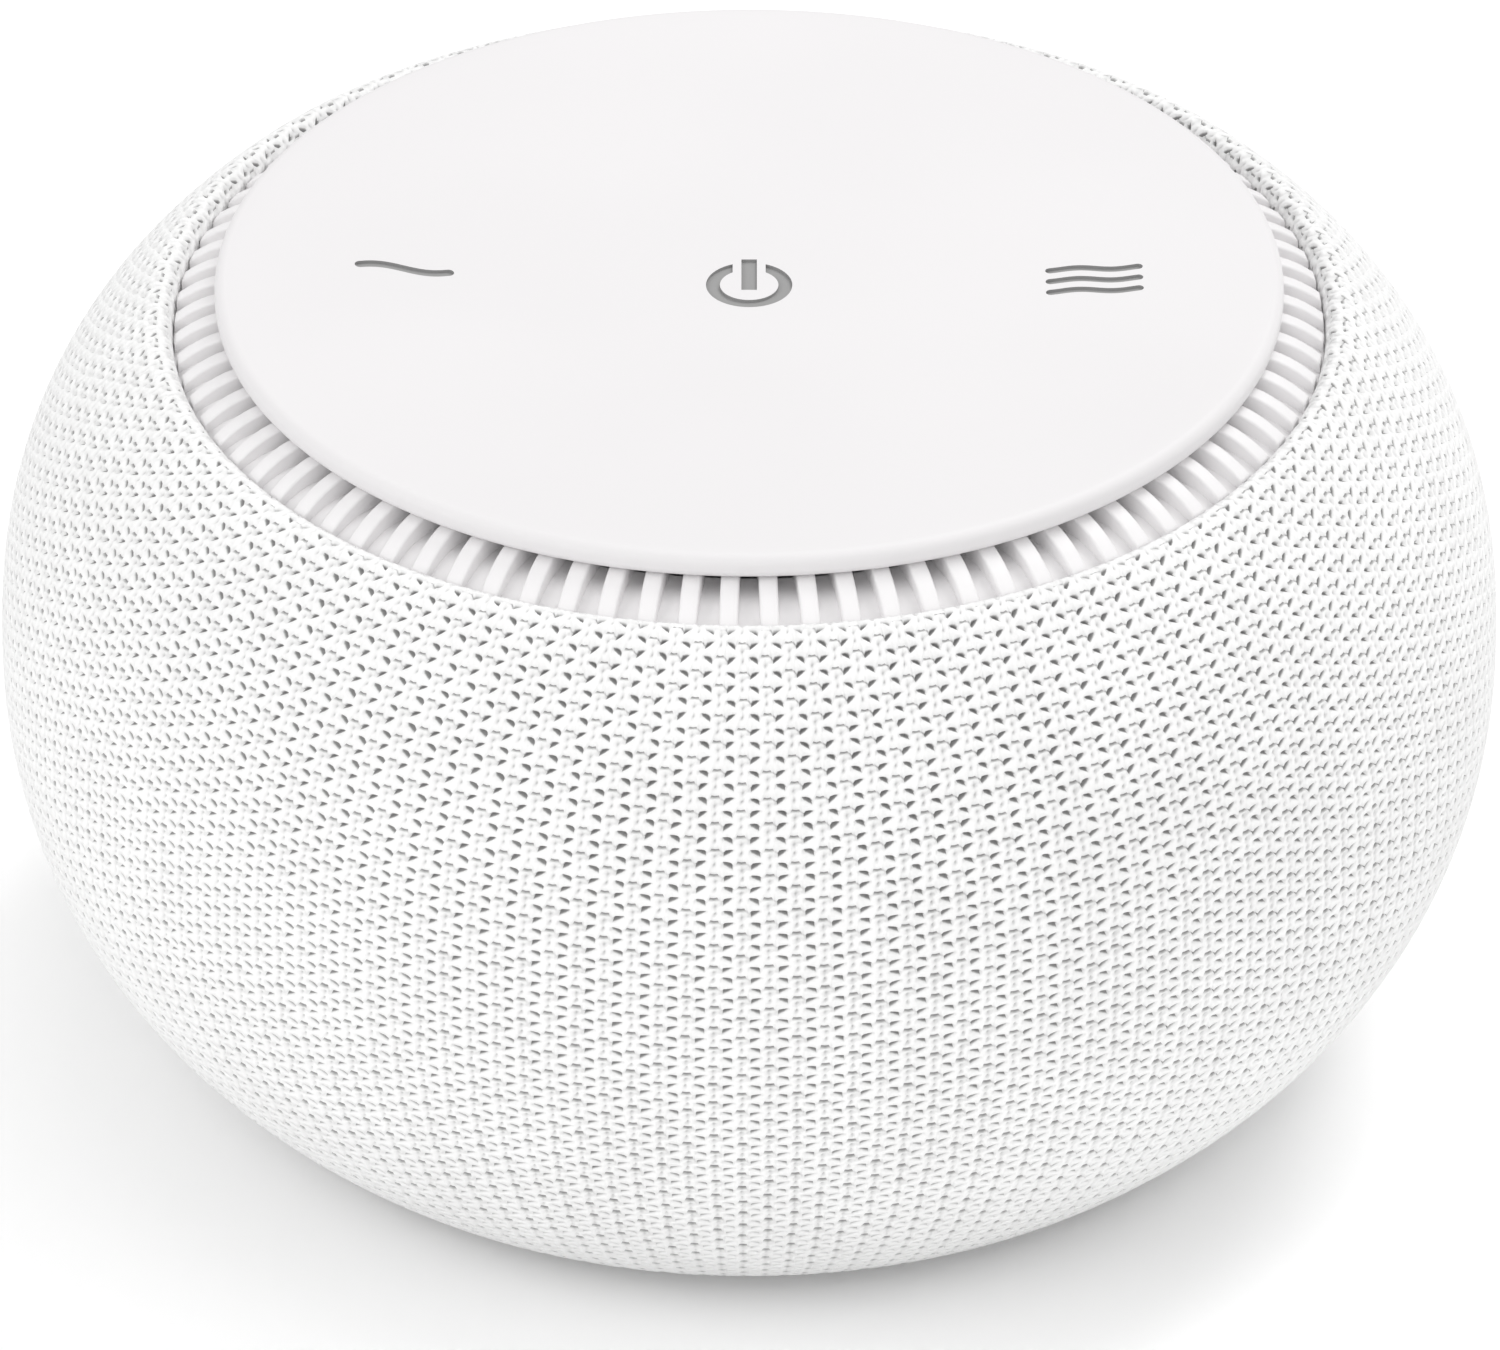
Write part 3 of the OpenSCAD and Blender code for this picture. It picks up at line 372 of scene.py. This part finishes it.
# The cover's outline: two quarter curves that meet at the widest line, rolled in at lip and hem
BODY_R, EQUATOR = 71.0, 41.8
RISE, RISE_EXP = 50.3, 2.4
DROP, DROP_EXP = 55.0, 2.1
ROLL = 1.5
LIP_R, LIP_TUCK = 54.0, 2.2
HEM_Z, HEM_FLAT = 3.0, 2.0


def shell_r(z, inset=0.0):
    span, exp = (RISE, RISE_EXP) if z > EQUATOR else (DROP, DROP_EXP)
    return (BODY_R - inset) * max(0, 1 - (abs(z - EQUATOR) / (span - inset)) ** exp) ** (1 / exp)


def shell_z(r, inset=0.0):
    return EQUATOR + (RISE - inset) * (1 - (r / (BODY_R - inset)) ** RISE_EXP) ** (1 / RISE_EXP)


LIP_C = (LIP_R + ROLL, shell_z(LIP_R + ROLL, ROLL))
HEM_C = (shell_r(HEM_Z + ROLL, ROLL), HEM_Z + ROLL)


def lean(z):
    return math.atan2(shell_r(z - 0.02) - shell_r(z + 0.02), 0.04)


def cover_outline():
    """Points down the cover's outer face, from the tuck inside the lip to the hem's flat."""
    lip_lean = lean(LIP_C[1] + ROLL * 0.75)
    hem_lean = lean(HEM_C[1] - ROLL * 0.75)
    points = [(LIP_R, LIP_C[1] - LIP_TUCK), (LIP_R, LIP_C[1])]
    for i in range(1, 25):
        a = math.pi + (lip_lean - math.pi) * i / 24
        points.append((LIP_C[0] + ROLL * math.cos(a), LIP_C[1] + ROLL * math.sin(a)))
    top = LIP_C[1] + ROLL * math.sin(lip_lean) - 0.5
    low = HEM_C[1] + ROLL * math.sin(hem_lean) + 0.5

    def own_angle(z):
        span, exp = (RISE, RISE_EXP) if z > EQUATOR else (DROP, DROP_EXP)
        return math.copysign(math.asin((abs(z - EQUATOR) / span) ** (exp / 2)), z - EQUATOR)

    for i in range(401):
        a = own_angle(top) + (own_angle(low) - own_angle(top)) * i / 400
        span, exp = (RISE, RISE_EXP) if a > 0 else (-DROP, DROP_EXP)
        points.append((BODY_R * math.cos(a) ** (2 / exp),
                       EQUATOR + span * abs(math.sin(a)) ** (2 / exp)))
    for i in range(25):
        a = hem_lean + (-math.pi / 2 - hem_lean) * i / 24
        points.append((HEM_C[0] + ROLL * math.cos(a), HEM_C[1] + ROLL * math.sin(a)))
    points.append((HEM_C[0] - HEM_FLAT, HEM_Z))
    return np.array(points)


OUTLINE = cover_outline()
RUN = np.concatenate([[0], np.cumsum(np.hypot(*np.diff(OUTLINE, axis=0).T))])


def outline_at(run):
    """Radius, height and outward direction of the cover's outer face, that far along it."""
    r, z = np.interp(run, RUN, OUTLINE[:, 0]), np.interp(run, RUN, OUTLINE[:, 1])
    r1, z1 = np.interp(run + 0.3, RUN, OUTLINE[:, 0]), np.interp(run + 0.3, RUN, OUTLINE[:, 1])
    r0, z0 = np.interp(run - 0.3, RUN, OUTLINE[:, 0]), np.interp(run - 0.3, RUN, OUTLINE[:, 1])
    length = np.hypot(r1 - r0, z1 - z0)
    return r, z, -(z1 - z0) / length, (r1 - r0) / length


# ---- knitted cover ------------------------------------------------------------------------------

COLUMNS = 176
COLUMN_STEPS, ROW_STEPS = 8, 6
PANELS = 4
LIP_RUN = 4.55                           # from the cover's inner edge up to the lip's crest
FIRST_COLUMN = -0.27                     # where a column of stitches lies beside the front's middle
STITCH_DEPTH = 0.8
COVER_T = 1.25                           # from the outer face in to the plain inner one
# Half a stitch: points across from one column of smiles to the next, in three rows up. Each is
# (across in columns, up in rows, depth). The other half is the same, mirrored and half a row up.
STITCH = [
    [(0.00, -0.065, 0.36), (0.14, -0.04, 0.33), (0.28, -0.165, 0.0), (0.37, -0.085, 0.0),
     (0.50, -0.06, 0.0), (0.64, -0.05, 0.02), (0.76, -0.03, 0.0), (0.88, -0.03, 0.0),
     (1.0, -0.04, 0.05)],
    [(0.00, 0.17, 0.05), (0.12, 0.17, 0.03), (0.23, 0.20, 0.0), (0.34, 0.28, 0.0),
     (0.45, 0.235, 0.0), (0.57, 0.17, 0.02), (0.68, 0.115, 0.03), (0.82, 0.15, 0.0),
     (1.0, 0.11, 0.42)],
    [(0.00, 0.29, 0.42), (0.12, 0.30, 0.02), (0.22, 0.40, 0.02), (0.32, 0.42, 0.3),
     (0.44, 0.408, 0.75), (0.56, 0.365, 0.95), (0.665, 0.265, 0.6), (0.76, 0.29, 0.0),
     (1.0, 0.35, 0.05)],
]


def row_height(run):
    """Height of a row of stitches, that far down the cover from the lip's crest."""
    return 2.14 + (0.00034 if run < 45 else 0.00072) * (run - 45) ** 2


def stitch_point(across, up):
    """Place in columns and rows, and depth, of one point of the knit's grid."""
    column, a = divmod(across, COLUMN_STEPS)
    row, b = divmod(up, ROW_STEPS)
    mirrored = column % 2 == 1
    if mirrored:
        a = COLUMN_STEPS - a
    if b < 3:
        u, v, depth = STITCH[b][a]
    else:
        u, v, depth = STITCH[b - 3][COLUMN_STEPS - a]
        u, v = 1 - u, v + 0.5
    return column + (1 - u if mirrored else u), row + v, depth


def corner_painted_shade(face, corner, depth):
    """How much painted shade the knit takes at one corner of a face of the grid, by its depth and
    its place round the smiles and arches.
    """
    a, b = face[0] % COLUMN_STEPS, face[1] % ROW_STEPS
    right, upper = corner[0] > face[0], corner[1] > face[1]
    if face[0] // COLUMN_STEPS % 2 == 1:
        a, right = COLUMN_STEPS - 1 - a, not right
    if b >= 3:
        a, b, right = COLUMN_STEPS - 1 - a, b - 3, not right
    if (a, b) == (7, 2):                 # under a smile
        return 0.9 * depth + (0.4 if upper else 0.3 * right)
    if a == 6 and b > 0:                 # past the low end of an arch
        return 0.35 * depth
    if b == 0 and a < 2:                 # over a smile
        return (0.62, 0.3)[a] * depth
    return (1.8 if b == 1 and 3 <= a <= 5 else 1.0) * depth


# Where the rows of stitches end on the outline, counted from the cover's inner edge downwards
ROW_STOPS = [0.0]
while ROW_STOPS[-1] < RUN[-1]:
    ROW_STOPS.append(ROW_STOPS[-1] + row_height(ROW_STOPS[-1] - LIP_RUN))
ROWS = len(ROW_STOPS) - 1
ROW_STOPS = np.array(ROW_STOPS) * (RUN[-1] / ROW_STOPS[-1])

# Hand of the knit: how far each stitch strays across, up and in depth, of one column or row
rng = np.random.default_rng(11)
UNEVEN = [amount * rng.uniform(-1, 1, (COLUMNS, 2 * ROWS + 3)) for amount in (0.055, 0.06, 0.25)]


def uneven(strays, column, row):
    """The stray at a place between the stitches, drawn smoothly from the stitches around it."""
    x, y = column, np.clip(2 * row, 0, 2 * ROWS)
    i, j = np.floor(x).astype(int), np.floor(y).astype(int)
    fx, fy = x - i, y - j
    at = [[strays[(i + di) % COLUMNS, j + dj] for dj in (0, 1)] for di in (0, 1)]
    return ((at[0][0] * (1 - fx) + at[1][0] * fx) * (1 - fy)
            + (at[0][1] * (1 - fx) + at[1][1] * fx) * fy)


def cover_point(column, row, depth):
    """Place in metres of a point of the cover: row counts up from the hem's inner edge."""
    run = np.interp(ROWS - row, np.arange(ROWS + 1), ROW_STOPS)
    r, z, out_r, out_z = outline_at(run)
    angle = 2 * math.pi * (column + FIRST_COLUMN) / COLUMNS - math.pi / 2
    r, z = r - out_r * depth, z - out_z * depth
    return np.stack([r * np.cos(angle), r * np.sin(angle), z], axis=-1) * MM


# Bands of a panel's baked picture that its outer and inner faces fill, each (from, height)
OUTER_BAND, INNER_BAND = (0.06, 0.935), (0, 0.045)


def baked_at(across, up, band):
    return (0.004 + 0.992 * across, band[0] + band[1] * up)


def cover_panel(index):
    """A quarter of the knitted cover: stitches in relief outside, a plain face inside."""
    columns = COLUMNS // PANELS
    start = index * columns - columns // 2
    wide, tall = columns * COLUMN_STEPS, ROWS * ROW_STEPS
    bm = bmesh.new()
    painted_pit_shade = bm.loops.layers.float.new("painted_pit_shade")
    places = bm.loops.layers.uv.new(KNIT_MAP)
    bake = bm.loops.layers.uv.new("OFBake")
    bmesh.ops.create_grid(bm, x_segments=wide, y_segments=tall, size=1)
    bm.verts.ensure_lookup_table()
    grid = np.rint((np.array([v.co[:2] for v in bm.verts]) + 1) / 2 * (wide, tall)).astype(int)
    table = np.array([[stitch_point(i, j) for j in range(tall + 1)]
                      for i in range(2 * COLUMN_STEPS + 1)])
    cell = table[grid[:, 0] % (2 * COLUMN_STEPS), grid[:, 1]]
    column = cell[:, 0] + grid[:, 0] // (2 * COLUMN_STEPS) * 2
    fade = np.clip(np.minimum(grid[:, 1] - 2, tall - 1 - grid[:, 1]) / 2, 0, 1)
    across, upward, deeper = (uneven(kind, column + start, cell[:, 1]) for kind in UNEVEN)
    row, depth = np.clip(cell[:, 1] + upward * fade, 0, ROWS), cell[:, 2] * fade
    row = np.where(grid[:, 1] == 0, 0, np.where(grid[:, 1] == tall, ROWS, row))
    where = cover_point(column + start + across, row, depth * (1 + deeper) * STITCH_DEPTH)
    for vert, co in zip(bm.verts, where):
        vert.co = co
    grid = grid.tolist()
    # Each corner of the relief takes painted shade for the pits, from its depth and its place in
    # the stitch
    for face in bm.faces:
        corners = [grid[loop.vert.index] for loop in face.loops]
        low = [min(c[0] for c in corners), min(c[1] for c in corners)]
        for loop, corner in zip(face.loops, corners):
            k = loop.vert.index
            loop[painted_pit_shade] = corner_painted_shade(low, corner, depth[k]) * fade[k]
            loop[places].uv = (column[k], row[k])
            loop[bake].uv = baked_at(column[k] / columns, row[k] / ROWS, OUTER_BAND)
    outer_rim = [e for e in bm.edges if e.is_boundary]
    # Inner face: one quad to a stitch, its border cut as finely as the outer face's
    inner = bmesh.ops.create_grid(bm, x_segments=columns, y_segments=ROWS, size=1)["verts"]
    spots = np.rint((np.array([v.co[:2] for v in inner]) + 1) / 2 * (columns, ROWS))
    for vert, spot in zip(inner, spots):
        vert.co = (*spot, 0)
    faces = list({f for v in inner for f in v.link_faces})
    rims = [e for e in {e for v in inner for e in v.link_edges} if e.is_boundary]
    across = [e for e in rims if abs(e.verts[0].co.y - e.verts[1].co.y) < 0.5]
    upward = [e for e in rims if abs(e.verts[0].co.x - e.verts[1].co.x) < 0.5]
    bmesh.ops.bisect_edges(bm, edges=across, cuts=COLUMN_STEPS - 1)
    bmesh.ops.bisect_edges(bm, edges=upward, cuts=ROW_STEPS - 1)
    loops = {}
    for face in faces:
        for loop in face.loops:
            x, y, _ = loop.vert.co
            loop[bake].uv = baked_at(x / columns, y / ROWS, INNER_BAND)
            loop[places].uv = (x, y)
            loops[loop.vert] = (x, y)
    flat = np.array(list(loops.values()))
    where = cover_point(flat[:, 0] + start, flat[:, 1], np.full(len(flat), COVER_T))
    for vert, co in zip(loops, where):
        vert.co = co
    bmesh.ops.reverse_faces(bm, faces=faces)
    inner_rim = [e for e in {e for f in faces for e in f.edges} if e.is_boundary]
    for edge in outer_rim + inner_rim:
        edge.smooth = False
    bmesh.ops.bridge_loops(bm, edges=outer_rim + inner_rim)
    made = piece(f"knit_cover_{index + 1}", bm, "knit", "tone_shell")
    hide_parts("fabric_sleeve")


for index in range(PANELS):
    cover_panel(index)

# ---- grille ring and touch plate ----------------------------------------------------------------

PLATE_R, PLATE_T, DISH = 50.0, 2.4, 1.4
PLATE_EDGE, PLATE_LOW_EDGE = 1.0, 0.9
PLATE_WALL = 1.7
MARK_DEPTH, MARK_X = 0.5, 32.3
MARKS_R = 38.0                           # the marks all lie within this radius
GRILLE_R = LIP_R - 0.06
RIBS, RIB_T, RIB_EDGE = 90, 1.7, 0.25
RIB_FALL = 2.5                           # from a rib's flat part down to its outer end
RIB_END_Z = LIP_C[1] + 0.5
RIB_TOP_Z = RIB_END_Z + RIB_FALL
RIB_UNDER_Z = RIB_END_Z - 1.8
RIB_FLAT_R = PLATE_R - 2
RIB_IN_H, RIB_END_H = 2.0, 1.1           # a rib's height above the floor, inside and at its end
FLOOR_T, FLOOR_UNDER_Z = 2.0, RIB_END_Z - 2.8
FLOOR_IN_R, HUB_OUT_R, HUB_IN_R = 46.4, 42.0, 40.5
PLATE_Z = RIB_TOP_Z + 0.1
PLATE_TOP = PLATE_Z + PLATE_T
TAB_Z, TAB_T, TAB_W = PLATE_TOP - DISH - 7.8, 1.6, 8.0
TAB_IN_R, TAB_OUT_R, TAB_SCREW_R = 34.0, 41.5, 37.0


def arc(centre, radius, start, end, steps):
    """Points on an arc in the outline's plane, angles in degrees."""
    angles = np.radians(np.linspace(start, end, steps + 1))
    return [(centre[0] + radius * math.cos(a), centre[1] + radius * math.sin(a)) for a in angles]


def turned(bm, outline, steps=180):
    """Turns a closed outline of (radius, height) once round the middle line."""
    verts = [bm.verts.new((r * MM, 0, z * MM)) for r, z in outline]
    edges = [bm.edges.new((verts[i - 1], verts[i])) for i in range(len(verts))
             if outline[i - 1][0] + outline[i][0] > 0]
    bmesh.ops.spin(bm, geom=verts + edges, axis=(0, 0, 1), cent=(0, 0, 0), angle=2 * math.pi,
                   steps=steps, use_merge=True)
    middle = [v for v in bm.verts if math.hypot(*v.co[:2]) < 1e-7]
    bmesh.ops.remove_doubles(bm, verts=middle, dist=1e-7)


def rounded_ring(bm, r_in, r_out, z, height, edge):
    """A turned ring of rectangular section with rounded corners."""
    corners = [((r_out - edge, z + edge), -90), ((r_out - edge, z + height - edge), 0),
               ((r_in + edge, z + height - edge), 90), ((r_in + edge, z + edge), 180)]
    turned(bm, [p for centre, start in corners for p in arc(centre, edge, start, start + 90, 3)])


def past_flat(r):
    """Share of the way from the end of a rib's flat part to its outer end."""
    return max(0, (r - RIB_FLAT_R) / (GRILLE_R - RIB_FLAT_R))


def rib_top(r):
    return RIB_TOP_Z - RIB_FALL * past_flat(r) ** 2


def floor_top(r):
    return rib_top(r) - RIB_IN_H + (RIB_IN_H - RIB_END_H) * past_flat(r)


def grille_ring():
    """Ribs with softly rounded tops, between a hub under the plate and a floor at their ends."""
    bm = bmesh.new()
    r_in, r_out = HUB_OUT_R - 0.5, GRILLE_R - 0.1
    rib = bmesh.ops.create_cube(bm, size=1)["verts"]
    for v in rib:
        v.co = ((r_in if v.co.x < 0 else r_out) * MM, v.co.y * RIB_T * MM,
                (RIB_UNDER_Z if v.co.z < 0 else RIB_TOP_Z) * MM)
    for r in np.linspace(RIB_FLAT_R, r_out, 8)[:-1]:
        bmesh.ops.bisect_plane(bm, geom=bm.verts[:] + bm.edges[:] + bm.faces[:],
                               plane_co=(r * MM, 0, 0), plane_no=(1, 0, 0))
    for v in bm.verts:
        if v.co.z > RIB_END_Z * MM:
            v.co.z = rib_top(v.co.x / MM) * MM
    top = {f for f in bm.faces if f.normal.z > 0.3}
    soft = [e for e in bm.edges if len(top & set(e.link_faces)) == 1]
    bmesh.ops.bevel(bm, geom=soft, offset=RIB_EDGE * MM, segments=3, profile=0.5, affect="EDGES",
                    material=-1)
    bmesh.ops.spin(bm, geom=bm.verts[:] + bm.edges[:] + bm.faces[:], axis=(0, 0, 1),
                   cent=(0, 0, 0), angle=2 * math.pi * (RIBS - 1) / RIBS, steps=RIBS - 1,
                   use_duplicate=True)
    rounded_ring(bm, HUB_IN_R, HUB_OUT_R, FLOOR_UNDER_Z, PLATE_Z - FLOOR_UNDER_Z, 0.2)
    rounded_ring(bm, GRILLE_R - 1.8, GRILLE_R, FLOOR_UNDER_Z - 2, 3.0, 0.2)
    radii = np.linspace(FLOOR_IN_R, GRILLE_R, 13)
    turned(bm, [(r, floor_top(r)) for r in radii]
           + [(r, floor_top(r) - FLOOR_T) for r in radii[::-1]])
    for quarter in range(4):
        tab = screw_tab(bm)
        turn = Euler((0, 0, math.radians(45 + 90 * quarter)))
        bmesh.ops.rotate(bm, verts=tab, matrix=turn.to_matrix())
    bmesh.ops.recalc_face_normals(bm, faces=bm.faces)
    made = piece("grille", bm, "ribs", "base")
    made.data.set_sharp_from_angle(angle=math.radians(50))
    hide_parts("grille_ring")


def screw_tab(bm):
    """A tab inwards from the hub, with the hole of its screw."""
    middle, half_l = (TAB_IN_R + TAB_OUT_R) / 2 - TAB_SCREW_R, (TAB_OUT_R - TAB_IN_R) / 2
    hole = bmesh.ops.create_circle(bm, segments=32, radius=1.3 * MM)["verts"]
    rim = bmesh.ops.create_circle(bm, segments=32, radius=1)["verts"]
    for v in rim:
        across = max(abs(v.co.x), abs(v.co.y))
        v.co = v.co / across
        v.co = ((v.co.x * half_l + middle) * MM, v.co.y * TAB_W / 2 * MM, 0)
    edges = list({e for v in hole + rim for e in v.link_edges})
    face = bmesh.ops.bridge_loops(bm, edges=edges)["faces"]
    raised = bmesh.ops.extrude_face_region(bm, geom=face)["geom"]
    raised = [v for v in raised if isinstance(v, bmesh.types.BMVert)]
    bmesh.ops.translate(bm, verts=raised, vec=(0, 0, TAB_T * MM))
    tab = hole + rim + raised
    bmesh.ops.translate(bm, verts=tab, vec=(TAB_SCREW_R * MM, 0, TAB_Z * MM))
    return tab


grille_ring()


def dish_z(r):
    return PLATE_TOP - DISH * (1 - (r / (PLATE_R - PLATE_EDGE)) ** 2)


def wave(middle, height, crest, half_period, stroke):
    """Outline of one wavy stroke with rounded ends, about a point of the plate."""
    x = np.linspace(-4.1, 4.1, 33)
    y = height * np.cos(np.pi * (x - crest) / half_period)
    r = stroke / 2
    outline = [(a, b - r) for a, b in zip(x, y)] + arc((x[-1], y[-1]), r, -75, 75, 8)
    outline += [(a, b + r) for a, b in zip(x[::-1], y[::-1])] + arc((x[0], y[0]), r, 105, 255, 8)
    return [(a + middle[0], b + middle[1]) for a, b in outline]


def mark_outlines():
    """The plate's engraved marks: a switch sign, one wave and three waves."""
    outer, inner, gap, bar = 4.04, 2.74, 1.55, 0.725
    start, end = (math.degrees(math.asin(gap / r)) for r in (outer, inner))
    ring = (arc((0, 0), outer, 90 + start, 450 - start, 60)
            + arc((0, 0), inner, 450 - end, 90 + end, 48))
    stem = [(-bar, -0.9), (bar, -0.9), (bar, 4.6), (-bar, 4.6)]
    waves = [wave((-MARK_X, 1.95), 0.71, -2.9, 5.7, 1.15)]
    waves += [wave((MARK_X, i * 1.95), 0.22, -1.5, 3.3, 0.95) for i in (-1, 0, 1)]
    return [ring, stem] + waves


def touch_plate():
    """The dished plate, smooth from its middle round its rim, with its marks cut in."""
    bm = bmesh.new()
    rim, skirt = PLATE_R - PLATE_EDGE, HUB_IN_R - 0.1
    outline = [(r, dish_z(r)) for r in np.linspace(0, rim, 40)]
    outline += arc((rim, PLATE_TOP - PLATE_EDGE), PLATE_EDGE, 80, 0, 8)
    outline += arc((PLATE_R - PLATE_LOW_EDGE, PLATE_Z + PLATE_LOW_EDGE), PLATE_LOW_EDGE, 0, -90, 8)
    outline += [(skirt, PLATE_Z), (skirt, PLATE_Z - 2), (skirt - 1.6, PLATE_Z - 2),
                (skirt - 1.6, PLATE_Z), (skirt - 2.6, dish_z(skirt - 2.6) - PLATE_WALL),
                (0, dish_z(0) - PLATE_WALL)]
    turned(bm, outline, 256)
    bmesh.ops.recalc_face_normals(bm, faces=bm.faces)
    made = piece("plate", bm, "plate", "base")
    cutter = bmesh.new()
    for mark in mark_outlines():
        verts = [cutter.verts.new((x * MM, y * MM, (dish_z(math.hypot(x, y)) - MARK_DEPTH) * MM))
                 for x, y in mark]
        face = cutter.faces.new(verts)
        raised = bmesh.ops.extrude_face_region(cutter, geom=[face])["geom"]
        for v in raised:
            if isinstance(v, bmesh.types.BMVert):
                v.co.z = (PLATE_TOP + 1) * MM
    bmesh.ops.recalc_face_normals(cutter, faces=cutter.faces)
    mesh = bpy.data.meshes.new("marks")
    cutter.to_mesh(mesh)
    cutter.free()
    tool = bpy.data.objects.new("marks", mesh)
    bpy.context.scene.collection.objects.link(tool)
    cut = made.modifiers.new("marks", "BOOLEAN")
    cut.operation, cut.solver, cut.object = "DIFFERENCE", "EXACT", tool
    bpy.context.view_layer.update()
    graph = bpy.context.evaluated_depsgraph_get()
    done = bpy.data.meshes.new_from_object(made.evaluated_get(graph))
    made.modifiers.clear()
    made.data = done
    bpy.data.objects.remove(tool)
    done.set_sharp_from_angle(angle=math.radians(40))
    # The sides of the marks' grooves take the marks' grey as painted shade
    painted_groove_shade = done.attributes.new("painted_groove_shade", "FLOAT", "FACE")
    lowest = PLATE_TOP - DISH - MARK_DEPTH - 0.1
    for face in done.polygons:
        x, y, z = face.center / MM
        steep = abs(face.normal.z) < 0.5
        painted_groove_shade.data[face.index].value = steep and math.hypot(x, y) < MARKS_R and z > lowest
    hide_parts("touch_plate")


touch_plate()

# ---- floor and light ----------------------------------------------------------------------------

FLOOR_GREY, FLOOR_SEEN = 1.0, 1.06       # the floor as it lights the piece, and as the eye sees it
AMBIENT = 0.62                           # the room's strength, but for the eye, which sees it white


def to_the_eye(wire):
    """1 where a ray comes straight from the camera."""
    return wire.node("LightPath", out="Is Camera Ray")


def make_floor():
    bm = bmesh.new()
    bmesh.ops.create_grid(bm, x_segments=1, y_segments=1, size=4)
    mesh = bpy.data.meshes.new("floor")
    bm.to_mesh(mesh)
    bm.free()
    floor = bpy.data.objects.new("floor", mesh)
    bpy.context.scene.collection.objects.link(floor)
    material = bpy.data.materials.new("pale floor")
    material.use_nodes = True
    tree = material.node_tree
    tree.nodes.clear()
    wire = Wire(tree)
    card = wire.node("BsdfDiffuse", sockets={"Color": grey(FLOOR_GREY)})
    seen = wire.node("BsdfDiffuse", sockets={"Color": grey(FLOOR_SEEN)})
    both = wire.node("MixShader", sockets={0: to_the_eye(wire), 1: card, 2: seen})
    tree.links.new(both.socket, tree.nodes.new("ShaderNodeOutputMaterial").inputs["Surface"])
    mesh.materials.append(material)


def make_world():
    """An even grey room, which the camera alone sees as white."""
    world = bpy.data.worlds.new("studio")
    bpy.context.scene.world = world
    world.use_nodes = True
    tree = world.node_tree
    tree.nodes.clear()
    wire = Wire(tree)
    strength = AMBIENT + to_the_eye(wire) * (1 - AMBIENT)
    sky = wire.node("Background", sockets={"Color": (1, 1, 1, 1), "Strength": strength})
    tree.links.new(sky.socket, tree.nodes.new("ShaderNodeOutputWorld").inputs["Surface"])


def soft_light(name, place, size, power, aim=(0, 0, 0.04)):
    lamp = bpy.data.lights.new(name, "AREA")
    lamp.shape, lamp.size, lamp.energy = "DISK", size, power
    made = bpy.data.objects.new(name, lamp)
    bpy.context.scene.collection.objects.link(made)
    made.location = place
    made.rotation_euler = (Vector(place) - Vector(aim)).to_track_quat("Z", "Y").to_euler()


make_floor()
make_world()
soft_light("top", (0, 0, 1.6), 0.8, 2.2)
soft_light("behind", (0.6, 0.7, 1.2), 0.7, 7.3)
soft_light("left", (-1.3, -0.6, 0.9), 1.0, 6.5)
soft_light("right", (1.3, -0.6, 0.9), 1.0, 2.5)
soft_light("front", (0, -1.6, 0.75), 1.0, 4.5)
